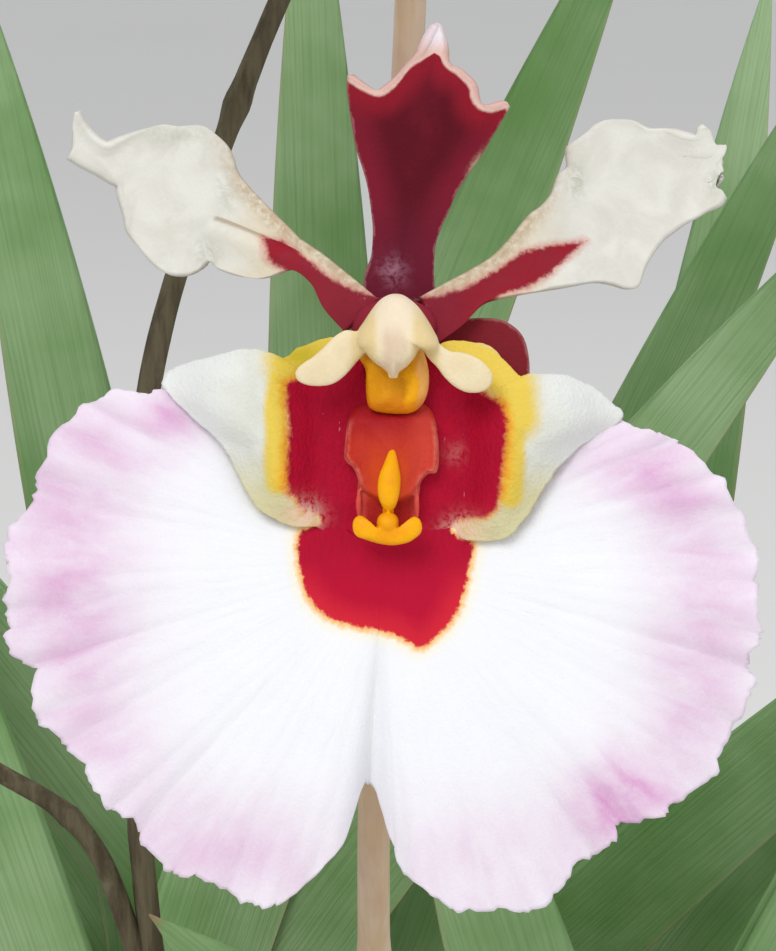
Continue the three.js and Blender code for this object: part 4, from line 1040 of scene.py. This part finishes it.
def column_finish():
    s = bpy.context.scene.orchid_bloom
    paint = Finish("column", 0.42, 0.16, in_bloom=True)
    x, z = paint.drawn()
    clouds = paint.noise(0.9, 4.0, 0.55)
    side = abs(x - 0.2)
    middle = abs(x + (clouds - 0.5) * 0.6 - 0.1)
    # Painted shade on the cap's flanks, darker and yellower at its sides
    painted_flank_shade = side.step(0.6, 1.0) * side.step(2.1, 1.6) * z.step(4.1, 3.2)
    # The anther's grey-pink tone, together with painted shade in the cap's grooves
    anther_and_groove_shade = middle.step(0.75, 0.15) * z.step(3.5, 2.4) * z.step(1.0, 1.6)
    skin = paint.coats(
        s.cream,
        ((0.8, 0.69, 0.46), clouds.step(0.35, 0.7)),
        ((0.8, 0.68, 0.5), side.step(0.95, 0.5) * z.step(1.6, 3.2)),
        ((0.7, 0.53, 0.24), painted_flank_shade * 0.75),
        ((0.62, 0.46, 0.33), anther_and_groove_shade * 0.75),
    )
    return paint.finished(skin, paint.noise(5.0, 4.0, 0.6), 0.00012)


# Stalks, pedicels and buds

ROUTE_POINTS = 600
STALK_RADIUS = 0.95
PEDICEL_RADIUS = 0.6
OLD_STALK_RADIUS = 0.85
SPIKE_ROUTE = [
    (3.2, -14, 44), (2.6, -17, 58), (1.2, -26, 74), (-0.4, -38, 95), (-0.8, -44.6, 112), (-0.2, -46.5, 132),
    (0.9, -47, 153), (1.4, -51, 172), (1.2, -58, 192), (0.4, -68, 211), (-0.6, -80, 229), (-1.6, -93, 244),
    (-2.4, -107, 256), (-2.8, -120, 264),
]
PEDICEL_LEAVES_AT = [0.4, 0.585, 0.665, 0.745, 0.82]
PEDICEL_SEAT = (0, 4.55, 3.2)
BUDS = [
    (0.9, (-7.5, -5, 3), 1.0), (0.95, (6.5, -5, 2.5), 0.85), (0.985, (-5, -4.5, 2.5), 0.7),
    (1.0, (2.5, -5.5, 1), 0.55),
]
BRACTS_AT = [0.13, 0.5]
OLD_STALK_ROUTE = [
    (-11, -15, 44), (-11.5, -16, 60), (-12.6, -19, 84), (-14.4, -21, 108), (-13.6, -21, 130),
    (-8.8, -18, 146), (-2.6, -15.5, 160), (3, -15, 170),
]
OLD_BRANCH_AT = 0.37
OLD_BRANCH_ROUTE = [(-16.9, -21, 104.4), (-22.3, -21.5, 109.2), (-29, -23, 113), (-35, -25, 113.5)]


def unit(v):
    v = np.asarray(v, float)
    return v / np.linalg.norm(v)


class Route:
    """A curve that gives its place and heading at a share of its length."""

    def __init__(self, points):
        self.line = even_spline(points, ROUTE_POINTS)

    def at(self, share):
        place = np.clip(share, 0, 1) * (ROUTE_POINTS - 1)
        return np.array([np.interp(place, np.arange(ROUTE_POINTS), self.line[:, k]) for k in range(3)])

    def heading(self, share):
        return unit(self.at(min(share + 0.004, 1)) - self.at(max(share - 0.004, 0)))


def add_bract(bm, route, along, towards, length=5.2, radius=1.25):
    root = route.at(along)
    lean = unit(np.asarray(towards) - root)
    rise = unit(route.heading(along) * 1.6 + lean)
    end = root + rise * length
    line = even_spline([root, (root + end) / 2 + lean * 0.7, end], 14)
    t = np.linspace(0, 1, 14)
    add_tube(bm, line, 0.12 + radius * (1 - t) ** 0.7 * ease(-0.25, 0.12, t), 12, green=0.15)


def add_bud(bm, root, out, size):
    out = np.asarray(out, float)
    tip, heading = root + out, unit(out)
    end = tip + heading * 7.5 * size
    stem = even_spline([root, (root + tip) / 2 - [0, 0, 0.8 * size], tip + heading * 0.6], 16)
    add_tube(bm, stem, np.full(16, 0.51), 10, green=0.5)
    t = np.linspace(0, 1, 20)
    line = tip + np.outer(t, end - tip)
    turn = np.linspace(0, 2 * np.pi, 19)
    swell = 2.1 * size * np.sin(np.pi * (0.12 + t * 0.84)) ** 0.8
    radii = swell[:, None] * (1 + 0.05 * np.cos(3 * turn)[None] * np.sin(np.pi * t)[:, None])
    add_tube(bm, line, radii, 18, green=1.0)


def build_spike(material):
    route = Route(SPIKE_ROUTE)
    bm = bmesh.new()
    t = np.linspace(0, 1, 220)
    knees = sum(bell(t - a, 0.004) for a in PEDICEL_LEAVES_AT + BRACTS_AT + [0.27])
    line = np.array([route.at(s) for s in t])
    add_tube(bm, line, STALK_RADIUS * (1 - 0.5 * t) * (1 + 0.22 * knees), 16, green=0.0)
    for bloom, along in zip(BLOOMS, PEDICEL_LEAVES_AT):
        matrix = bloom_matrix(bloom)
        seat = np.array(matrix @ Vector(PEDICEL_SEAT))
        behind = np.array(matrix @ (Vector(PEDICEL_SEAT) + Vector((0, 5, -1.2))))
        root = route.at(along)
        early = route.at(along + 0.012) * 0.7 + behind * 0.3
        s = np.linspace(0, 1, 40)
        stem = even_spline([root, early, behind, seat], 40)
        turn = np.linspace(0, 2 * np.pi, 13)
        grooved = 1 + 0.08 * np.cos(6 * turn)[None] * ease(0.4, 0.7, s)[:, None]
        flared = PEDICEL_RADIUS * (1 + 0.75 * ease(0.45, 0.9, s))
        add_tube(bm, stem, flared[:, None] * grooved, 12, green=0.7)
        add_bract(bm, route, along - 0.008, behind, 4.0, 1.1)
    for along, out, size in BUDS:
        add_bud(bm, route.at(along), out, size)
    for i, along in enumerate(BRACTS_AT):
        add_bract(bm, route, along, route.at(along) + [9 if i % 2 else -9, -6, 9])
    finish_piece(bm, "flower_spike_skin", "flower_spike", [material], outwards=True)


def build_old_stalk(material):
    route = Route(OLD_STALK_ROUTE)
    bm = bmesh.new()
    t = np.linspace(0, 1, 260)
    random = np.random.default_rng(4)
    turn = np.linspace(0, 2 * np.pi, 13)
    knees = sum(bell(t - at, 0.007) for at in (0.2, 0.37, 0.55, 0.8))
    uneven = np.interp(t, np.linspace(0, 1, 60), random.standard_normal(60))[:, None]
    wrinkled = 1 + 0.07 * np.cos(5 * turn[None] + 6 * t[:, None]) + 0.035 * uneven
    line = np.array([route.at(s) for s in t])
    add_tube(bm, line, (OLD_STALK_RADIUS * (1 - 0.35 * t) * (1 + 0.3 * knees))[:, None] * wrinkled, 12)
    s = np.linspace(0, 1, 50)
    branch = even_spline([route.at(OLD_BRANCH_AT), *OLD_BRANCH_ROUTE], 50)
    add_tube(bm, branch, OLD_STALK_RADIUS * (0.8 - 0.3 * s) * (1 + 0.25 * bell(s - 0.45, 0.02)), 10)
    away = np.array([-8, -4, 6])
    add_bract(bm, route, 0.2, route.at(0.2) + away)
    add_bract(bm, route, 0.55, route.at(0.55) - away)
    finish_piece(bm, "spent_stalk_skin", "spent_stalk", [material], outwards=True)


def stalk_finish():
    s = bpy.context.scene.orchid_plant
    paint = Finish("flowering stalk", 0.45, 0.4)
    streaks = paint.noise(1.0, 5.0, 0.6, over=paint.place.stretched(900.0, 900.0, 90.0))
    clouds = paint.noise(90.0, 4.0, 0.6)
    green = paint.coats((0.42, 0.44, 0.2), ((0.5, 0.3, 0.22), clouds.step(0.4, 0.65)))
    skin = paint.coats(
        s.stalk,
        ((0.6, 0.47, 0.34), streaks.step(0.35, 0.7)),
        ((0.4, 0.2, 0.16), clouds.step(0.45, 0.7) * 0.5),
        (green, paint.kept("green")),
    )
    return paint.finished(skin, streaks, 0.0002)


def dry_stalk_finish():
    s = bpy.context.scene.orchid_plant
    paint = Finish("dry stalk", 0.8, 0.25)
    streaks = paint.noise(1.0, 6.0, 0.65, over=paint.place.stretched(1100.0, 1100.0, 120.0))
    skin = paint.coats(
        s.dry_stalk,
        ((0.12, 0.1, 0.058), streaks.step(0.35, 0.65)),
        ((0.16, 0.14, 0.09), paint.noise(220.0, 4.0, 0.7).step(0.52, 0.7)),
    )
    return paint.finished(skin, streaks, 0.0004, 0.7)


# Leaf fans

LEAF_BASE_Z = 52
LEAF_STEPS = 6
LEAF_THICKNESS = 2.3
# Each fan's place, its turn and lean in degrees, its leaves' width, and each leaf's angle and length
FANS = [
    ((-3, 6), 3, 0, 8.6, [(-45, 82), (-27, 103), (-1, 112), (17, 104), (36, 90)]),
    ((-17.3, -5.2), 4, 0, 8.8, [(-49, 86), (-30, 99), (-13, 95), (16, 116), (27, 104)]),
    ((13.6, -6.6), 23, 11, 9, [(-31, 65), (-15, 72), (18, 99), (34, 87), (51, 80)]),
    ((-14.2, 15.7), -3, -4, 9, [(-37, 76), (-25, 88), (-8, 105), (12, 92), (29, 57)]),
    ((11.5, 13), -20, -19, 9, [(-42, 61), (-10, 85), (3, 106), (28, 86), (40, 73)]),
]


def leaf_lattice(angle, length, width, order, around, along):
    """Rings of one leaf in its fan's plane, from its foot to its tip. The inner edge has a groove."""
    last = LEAF_STEPS - 1 if length < 75 else LEAF_STEPS
    t = np.arange(last + 1) / last
    heading = np.radians(angle * (0.15 + 1.05 * ease(0, 0.4, t) + 0.3 * t))
    step = length / last
    x = angle * 0.05 + np.concatenate([[0], np.cumsum(step * np.sin(heading))[:-1]])
    z = np.concatenate([[0], np.cumsum(step * np.cos(heading))[:-1]])
    fine = np.linspace(0, 1, along + 1)
    x, z, heading = (spline(values[:, None], fine)[:, 0] for values in (x, z, heading))
    swell = 0.56 + 0.44 * np.sin(np.minimum(fine / 0.42, 1) * np.pi / 2)
    taper = np.where(fine < 0.42, 1, 1 - np.clip((fine - 0.42) / 0.58, 0, 1) ** 2.4)
    w = np.maximum(0.12, width * swell * taper)
    thick = LEAF_THICKNESS * (1.05 - 0.62 * fine) * ease(1.02, 0.9, fine) + 0.05
    sideways = order * 0.4 + 1.6 * order * fine**2
    side = -1 if angle < 0 else 1
    turn = np.linspace(0, 2 * np.pi, around + 1)
    a = -0.5 * np.cos(turn)
    b = 0.5 * np.sign(np.sin(turn)) * np.abs(np.sin(turn)) ** 0.9 * np.clip(0.55 + 0.75 * a, 0.1, 1)
    groove = 0.16 * bell(b, 0.12) * ease(0.3, 0.5, a)
    a = a - groove
    wave = 0.25 * np.sin(fine * 9 + angle)[:, None] * ease(0.3, 1, fine)[:, None]
    lattice = stacked(
        x[:, None] - side * a[None] * (w * np.cos(heading))[:, None],
        sideways[:, None] + b[None] * thick[:, None] + wave,
        z[:, None] + side * a[None] * (w * np.sin(heading))[:, None],
    )
    fields = {
        "grain": stacked(a[None] * w[:, None], fine[:, None] * length, np.sign(b)[None]),
        "along": fine[:, None].repeat(around + 1, 1),
        "keel": np.abs(a)[None].repeat(along + 1, 0),
    }
    return lattice, fields


def build_leaf_fan(number, material):
    at, turn, lean, width, leaves = FANS[number - 1]
    bm = bmesh.new()
    for i, (angle, length) in enumerate(leaves):
        lattice, fields = leaf_lattice(angle, length, width, (i * 2) % 3 - 1, 28, 72)
        tip = np.broadcast_to(lattice[-1].mean(0), lattice[-1:].shape)
        foot = np.broadcast_to(lattice[0].mean(0) - [0, 0, 2.0], lattice[:1].shape)
        lattice = np.concatenate([foot, lattice, tip])
        fields = {name: np.concatenate([values[:1], values, values[-1:]]) for name, values in fields.items()}
        fields["leaf"] = np.full(lattice.shape[:2], (i * 0.37 + number * 0.21) % 1)
        add_sheet(bm, lattice, fields, wrapped=True)
    t = np.linspace(0, 1, 12)
    line = np.stack([t * 0, t * 0, -6.9 + 10.5 * t], 1)
    stub = add_tube(bm, line, 1.0 - 0.25 * t**3, 20)
    bmesh.ops.scale(bm, vec=(4.5, 2.3, 1), verts=stub)
    place = (
        Matrix.Translation((*at, LEAF_BASE_Z))
        @ Matrix.Rotation(math.radians(turn), 4, "Z")
        @ Matrix.Rotation(math.radians(lean), 4, "X")
    )
    name = f"leaf_fan_{number}"
    finish_piece(bm, f"{name}_skin", name, [material], place, outwards=True)


def leaf_finish():
    s = bpy.context.scene.orchid_plant
    paint = Finish("leaf", 0.38, 0.45)
    along = paint.kept("along")
    lines = paint.noise(1.0, 5.0, 0.6, over=paint.kept("grain", "Vector").stretched(5.0, 0.05, 1.0))
    clouds = paint.noise(45.0, 4.0, 0.6)
    skin = paint.coats(
        s.leaf_green,
        ((0.115, 0.26, 0.06), paint.kept("leaf")),
        (s.leaf_pale, clouds.step(0.32, 0.66)),
        ((0.1, 0.2, 0.06), lines.step(0.4, 0.7) * 0.4),
        ((0.36, 0.4, 0.18), along.step(0.22, 0.02) * 0.8),
        ((0.35, 0.36, 0.18), paint.kept("keel").step(0.44, 0.5) * 0.45),
        ((0.26, 0.17, 0.08), along.step(0.975, 1.0)),
    )
    return paint.finished(skin, lines + clouds * 0.6, 0.00025, 0.45)


# Pot and bark

POT_WALL = 4.2
POT_FLOOR = 4.8
POT_BAND_OUT = 2.6
POT_BAND_HEIGHT = 15
DRAIN_HOLES = 5
DRAIN_HOLE_RADIUS = 2.5
DRAIN_HOLE_CIRCLE = 14
MIX_TOP = 54
MIX_LOW = 5.2
MIX_GAP = 0.4
LARGE_CHIPS = 21
LARGE_CHIP_LENGTH = 12
SMALL_CHIPS = 230
GOLDEN_ANGLE = 2.39996


def pot_sizes():
    """The pot's height and its radii at the base, under the band and inside the mouth."""
    s = bpy.context.scene.orchid_pot
    height, base, top = s.height * 1000, s.base_radius * 1000, s.top_radius * 1000
    return height, base, top, top - POT_WALL + POT_BAND_OUT


def pot_profile():
    height, base, top, inner = pot_sizes()
    band, rim = height - POT_BAND_HEIGHT, top + POT_BAND_OUT
    return [
        (0, 0), (base - 1, 0), (base - 0.3, 0.3), (base, 1), (top - 1.2, band), (top + 0.2, band + 0.1),
        (rim - 0.7, band + 0.4), (rim, band + 1.2), (rim + 0.6, height - 1.4), (rim + 0.3, height - 0.4),
        (rim - 0.6, height), (inner + 0.9, height), (inner + 0.2, height - 0.4), (inner, height - 1.2),
        (base - POT_WALL + 0.4, POT_FLOOR + 1.2), (base - POT_WALL - 0.8, POT_FLOOR), (0, POT_FLOOR),
    ]


def turned(profile, around, cuts=0):
    """A profile of radii and heights, turned about the upright axis."""
    bm = bmesh.new()
    corners = [bm.verts.new((r, 0, z)) for r, z in profile]
    edges = [bm.edges.new(pair) for pair in zip(corners, corners[1:])]
    if cuts:
        bmesh.ops.subdivide_edges(bm, edges=edges, cuts=cuts)
    shape = {"geom": bm.verts[:] + bm.edges[:], "steps": around, "angle": 2 * math.pi}
    bmesh.ops.spin(bm, **shape, cent=(0, 0, 0), axis=(0, 0, 1), use_merge=True)
    bmesh.ops.remove_doubles(bm, verts=bm.verts, dist=1e-4)
    return bm


def drain_holes():
    """Upright pins where the pot's base is cut, in metres."""
    bm = bmesh.new()
    radius = DRAIN_HOLE_RADIUS / 1000
    for i in range(DRAIN_HOLES):
        turn = Matrix.Rotation(math.radians(360 / DRAIN_HOLES * i), 4, "Z")
        place = turn @ Matrix.Translation((DRAIN_HOLE_CIRCLE / 1000, 0, 0.002))
        pin = {"radius1": radius, "radius2": radius, "depth": 0.02}
        bmesh.ops.create_cone(bm, cap_ends=True, segments=32, matrix=place, **pin)
    return shown("drain holes", mesh_of(bm, "drain holes"))


def build_pot(material):
    bm = turned(pot_profile(), 120, cuts=3)
    for vertex in bm.verts:
        swing = math.atan2(vertex.co.y, vertex.co.x)
        slack = 1 + 0.0025 * math.sin(2 * swing + 0.7) + 0.0012 * math.sin(5 * swing + vertex.co.z * 0.1)
        if vertex.co.z > 2:
            vertex.co.x *= slack
            vertex.co.y *= slack
    for face in bm.faces:
        face.smooth = True
    piece = finish_piece(bm, "pot_skin", "pot", [material], outwards=True)
    cutter = drain_holes()
    cut = piece.modifiers.new("drain holes", "BOOLEAN")
    cut.object = cutter
    cut.operation = "DIFFERENCE"
    cut.solver = "EXACT"
    holed = applied(piece)
    piece.modifiers.remove(cut)
    piece.data = holed
    bpy.data.objects.remove(cutter)


def repeatable(seed):
    """The same numbers from the same seed, as the pot's large chips were placed with."""
    state = seed

    def draw():
        nonlocal state
        state = (state + 0x6D2B79F5) & 0xFFFFFFFF
        t = state
        t = ((t ^ (t >> 15)) * (t | 1)) & 0xFFFFFFFF
        t ^= (t + (((t ^ (t >> 7)) * (t | 61)) & 0xFFFFFFFF)) & 0xFFFFFFFF
        return ((t ^ (t >> 14)) & 0xFFFFFFFF) / 4294967296

    return draw


def inner_radius(z):
    height, base, _, mouth = pot_sizes()
    low = base - POT_WALL
    return low + (z - POT_FLOOR) / (height - 1.2 - POT_FLOOR) * (mouth - low)


def spread_out(i, count, reach, start=0.0):
    """The radius and angle of one of many places, spread evenly over a disc."""
    return reach * math.sqrt((i + 0.5) / count), i * GOLDEN_ANGLE + start


def add_chip(bm, size, turns, place, random):
    """A worn block of bark, turned about x, y and z in that order."""
    before = len(bm.verts)
    made = bmesh.ops.create_cube(bm, size=1)["verts"]
    edges = list(dict.fromkeys(e for v in made for e in v.link_edges))
    bmesh.ops.subdivide_edges(bm, edges=edges, cuts=2, use_grid_fill=True)
    bm.verts.ensure_lookup_table()
    verts = bm.verts[before:]
    for vertex in verts:
        vertex.co *= 1 - 0.16 * sum(abs(c * 2) ** 3 for c in vertex.co) / 3
        vertex.co += Vector(random.normal(0, 0.045, 3))
    x_turn, y_turn, z_turn = (Matrix.Rotation(turn, 4, axis) for turn, axis in zip(turns, "XYZ"))
    matrix = Matrix.Translation(place) @ (z_turn @ y_turn @ x_turn) @ Matrix.Diagonal((*size, 1))
    bmesh.ops.transform(bm, matrix=matrix, verts=verts)
    mark(bm, verts, chip=random.random())


def add_large_chips(bm, random):
    draw = repeatable(20)
    for i in range(LARGE_CHIPS):
        radius, angle = spread_out(i, LARGE_CHIPS, 31.5)
        long = LARGE_CHIP_LENGTH * (0.65 + 0.5 * draw())
        size = (long, long * (0.5 + 0.25 * draw()), 3.4)
        turns = ((draw() - 0.5) * 0.9, (draw() - 0.5) * 0.9, draw() * math.pi)
        reach = min(radius, inner_radius(MIX_TOP) - 0.5 * long - 1.6)
        place = (reach * math.cos(angle), reach * math.sin(angle), MIX_TOP + 0.8 + 1.4 * draw())
        add_chip(bm, size, turns, place, random)


def add_small_chips(bm, rim, random):
    """Small chips everywhere but round the feet of the fans and the stalks."""
    stems = [plan[0] for plan in FANS] + [(3.0, -15.4), (-11.3, -15.8)]
    for i in range(SMALL_CHIPS):
        radius, angle = spread_out(i, SMALL_CHIPS, 31.0, 0.5)
        x, y = radius * math.cos(angle), radius * math.sin(angle)
        if min(math.hypot((x - sx) / 1.35, y - sy) for sx, sy in stems) < 4.6:
            continue
        long = random.uniform(3.0, 7.5)
        size = (long, long * random.uniform(0.4, 0.75), random.uniform(1.4, 2.8))
        turns = (*random.uniform(-0.5, 0.5, 2), random.uniform(0, math.pi))
        reach = min(radius, rim - 0.5 * long - MIX_GAP)
        place = (reach * math.cos(angle), reach * math.sin(angle), MIX_TOP + random.uniform(0.6, 2.6))
        add_chip(bm, size, turns, place, random)


def build_potting_mix(material):
    low, rim = inner_radius(MIX_LOW) - MIX_GAP, inner_radius(MIX_TOP) - MIX_GAP
    rings = [(0, MIX_LOW), (low, MIX_LOW), (rim, MIX_TOP - 1.5), (rim - 2.6, MIX_TOP), (0, MIX_TOP + 1.2)]
    core = turned(rings, 48)
    bm = bmesh.new()
    bm.verts.layers.float.new("chip")
    random = np.random.default_rng(11)
    add_large_chips(bm, random)
    add_small_chips(bm, rim, random)
    add_mesh(bm, core)
    finish_piece(bm, "potting_mix_skin", "potting_mix", [material], outwards=True)


def clay_finish():
    s = bpy.context.scene.orchid_pot
    paint = Finish("fired clay", 0.82, 0.3)
    grit = paint.noise(900.0, 4.0, 0.7)
    turning_marks = paint.noise(1.0, 3.0, over=paint.place.stretched(12.0, 12.0, 900.0))
    skin = paint.coats(
        s.clay,
        ((0.54, 0.235, 0.13), paint.noise(38.0, 5.0, 0.6).step(0.3, 0.7)),
        ((0.3, 0.12, 0.065), grit.step(0.55, 0.75) * 0.45),
        ((0.66, 0.5, 0.4), paint.noise(26.0, 6.0, 0.7, 0.6).step(0.52, 0.72) * 0.4),
    )
    return paint.finished(skin, grit * 0.6 + turning_marks, 0.0003)


def bark_finish():
    s = bpy.context.scene.orchid_pot
    paint = Finish("bark", 0.9, 0.25)
    fibres = paint.noise(1.0, 6.0, 0.7, over=paint.place.stretched(900.0, 260.0, 900.0))
    skin = paint.coats(
        s.bark,
        ((0.3, 0.18, 0.1), fibres.step(0.35, 0.68)),
        ((0.075, 0.042, 0.026), paint.kept("chip") * 0.7),
        ((0.42, 0.3, 0.19), paint.noise(160.0, 4.0).step(0.58, 0.74) * 0.5),
    )
    return paint.finished(skin, fibres, 0.0006, 0.8)


# Stage


def build_stage():
    s = bpy.context.scene.orchid_stage
    bm = bmesh.new()
    bmesh.ops.create_grid(bm, x_segments=1, y_segments=1, size=12)
    floor = shown("floor", mesh_of(bm, "floor"))
    paint = Finish("plain floor", 0.7, 0.2)
    darker = tuple(c * 0.97 for c in s.floor)
    floor.data.materials.append(paint.finished(paint.coats(s.floor, (darker, paint.noise(3.0, 2.0)))))
    world = bpy.data.worlds.new("studio")
    world.use_nodes = True
    background = world.node_tree.nodes["Background"].inputs
    background["Color"].default_value = (0.97, 0.98, 1.0, 1)
    background["Strength"].default_value = 0.71
    bpy.context.scene.world = world
    bpy.context.scene.view_settings.view_transform = "Standard"


def build_lights():
    for name, place, target, size, power in (
        ("key", (-0.24, -0.78, 0.75), (0, -0.05, 0.14), 0.5, 4.2),
        ("fill", (0.6, -0.6, 0.35), (0, -0.05, 0.14), 0.7, 0.8),
        ("top", (0.1, 0.25, 0.9), (0, -0.03, 0.14), 0.6, 1.8),
    ):
        light = bpy.data.lights.new(name, "AREA")
        light.shape = "DISK"
        light.size = size
        light.energy = power
        lamp = shown(name, light)
        lamp.location = place
        lamp.rotation_euler = (Vector(target) - Vector(place)).to_track_quat("-Z", "Y").to_euler()


def build_camera():
    """The camera looks at the front bloom from straight in front of it."""
    s = bpy.context.scene.orchid_stage
    tilt = math.radians(BLOOMS[0]["up"])
    right, up = Vector((1, 0, 0)), Vector((0, math.sin(tilt), math.cos(tilt)))
    back = Vector((0, math.cos(tilt), -math.sin(tilt)))
    across, rise = VIEW_CENTRE
    middle = (Vector(BLOOMS[0]["at"]) + right * across + up * rise) / 1000
    data = bpy.data.cameras.new("camera")
    data.lens = s.lens
    data.sensor_width = 36
    data.clip_start = 0.01
    data.clip_end = 100
    camera = shown("camera", data)
    turn = Matrix((right, up, -back)).transposed().to_4x4()
    camera.matrix_world = Matrix.Translation(middle - back * s.distance) @ turn
    bpy.context.scene.camera = camera


# Operators


class ORCHID_OT_stage(bpy.types.Operator):
    """Sets the camera, the floor and the studio light"""

    bl_idname = "orchid.stage"
    bl_label = "Stage"
    bl_options = {"REGISTER", "UNDO"}

    def execute(self, context):
        build_camera()
        build_stage()
        build_lights()
        return {"FINISHED"}


class ORCHID_OT_sepals(bpy.types.Operator):
    """Makes the crimson sepals of every bloom"""

    bl_idname = "orchid.sepals"
    bl_label = "Sepals"
    bl_options = {"REGISTER", "UNDO"}

    def execute(self, context):
        material = sepal_finish()
        for number in BLOOM_NUMBERS:
            build_sepals(number, material)
        return {"FINISHED"}


class ORCHID_OT_petals(bpy.types.Operator):
    """Makes the two petals of every bloom"""

    bl_idname = "orchid.petals"
    bl_label = "Petals"
    bl_options = {"REGISTER", "UNDO"}

    def execute(self, context):
        material = petal_finish()
        for number in BLOOM_NUMBERS:
            build_petals(number, material)
        return {"FINISHED"}


class ORCHID_OT_lips(bpy.types.Operator):
    """Makes the lip of every bloom"""

    bl_idname = "orchid.lips"
    bl_label = "Lips"
    bl_options = {"REGISTER", "UNDO"}

    def execute(self, context):
        materials = midlobe_finish(), sidelobe_finish()
        for number in BLOOM_NUMBERS:
            build_lip(number, *materials)
        return {"FINISHED"}


class ORCHID_OT_hearts(bpy.types.Operator):
    """Makes the crest and the column of every bloom"""

    bl_idname = "orchid.hearts"
    bl_label = "Crests and columns"
    bl_options = {"REGISTER", "UNDO"}

    def execute(self, context):
        crest, gold, column, pad = crest_finish(), gold_finish(), column_finish(), pad_finish()
        for number in BLOOM_NUMBERS:
            build_crest(number, crest, gold)
            build_column(number, column, pad)
        return {"FINISHED"}


class ORCHID_OT_stalks(bpy.types.Operator):
    """Makes the flowering spike and the spent stalk"""

    bl_idname = "orchid.stalks"
    bl_label = "Stalks"
    bl_options = {"REGISTER", "UNDO"}

    def execute(self, context):
        build_spike(stalk_finish())
        build_old_stalk(dry_stalk_finish())
        return {"FINISHED"}


class ORCHID_OT_leaves(bpy.types.Operator):
    """Makes the leaf fans"""

    bl_idname = "orchid.leaves"
    bl_label = "Leaf fans"
    bl_options = {"REGISTER", "UNDO"}

    def execute(self, context):
        material = leaf_finish()
        for number in range(1, len(FANS) + 1):
            build_leaf_fan(number, material)
        return {"FINISHED"}


class ORCHID_OT_pot(bpy.types.Operator):
    """Makes the pot and its bark"""

    bl_idname = "orchid.pot"
    bl_label = "Pot and bark"
    bl_options = {"REGISTER", "UNDO"}

    def execute(self, context):
        build_pot(clay_finish())
        build_potting_mix(bark_finish())
        return {"FINISHED"}


OPERATORS = (
    ORCHID_OT_stage,
    ORCHID_OT_sepals,
    ORCHID_OT_petals,
    ORCHID_OT_lips,
    ORCHID_OT_hearts,
    ORCHID_OT_stalks,
    ORCHID_OT_leaves,
    ORCHID_OT_pot,
)
SETTINGS = {
    "orchid_bloom": BloomSettings,
    "orchid_plant": PlantSettings,
    "orchid_pot": PotSettings,
    "orchid_stage": StageSettings,
}


class ORCHID_PT_sidebar(bpy.types.Panel):
    """Lists the plant's pieces and their settings"""

    bl_idname = "ORCHID_PT_sidebar"
    bl_label = "Potted Orchid"
    bl_space_type = "VIEW_3D"
    bl_region_type = "UI"
    bl_category = "Orchid"

    def draw(self, context):
        for operator in OPERATORS:
            self.layout.operator(operator.bl_idname)
        for name, group in SETTINGS.items():
            box = self.layout.box()
            for setting in group.__annotations__:
                box.prop(getattr(context.scene, name), setting)


def register():
    for group in SETTINGS.values():
        bpy.utils.register_class(group)
    for name, group in SETTINGS.items():
        setattr(bpy.types.Scene, name, bpy.props.PointerProperty(type=group))
    for operator in OPERATORS:
        bpy.utils.register_class(operator)
    bpy.utils.register_class(ORCHID_PT_sidebar)


def unregister():
    bpy.utils.unregister_class(ORCHID_PT_sidebar)
    for operator in reversed(OPERATORS):
        bpy.utils.unregister_class(operator)
    for name in SETTINGS:
        delattr(bpy.types.Scene, name)
    for group in SETTINGS.values():
        bpy.utils.unregister_class(group)


def main():
    register()
    for operator in OPERATORS:
        group, action = operator.bl_idname.split(".")
        getattr(getattr(bpy.ops, group), action)()


if __name__ == "__main__":
    main()
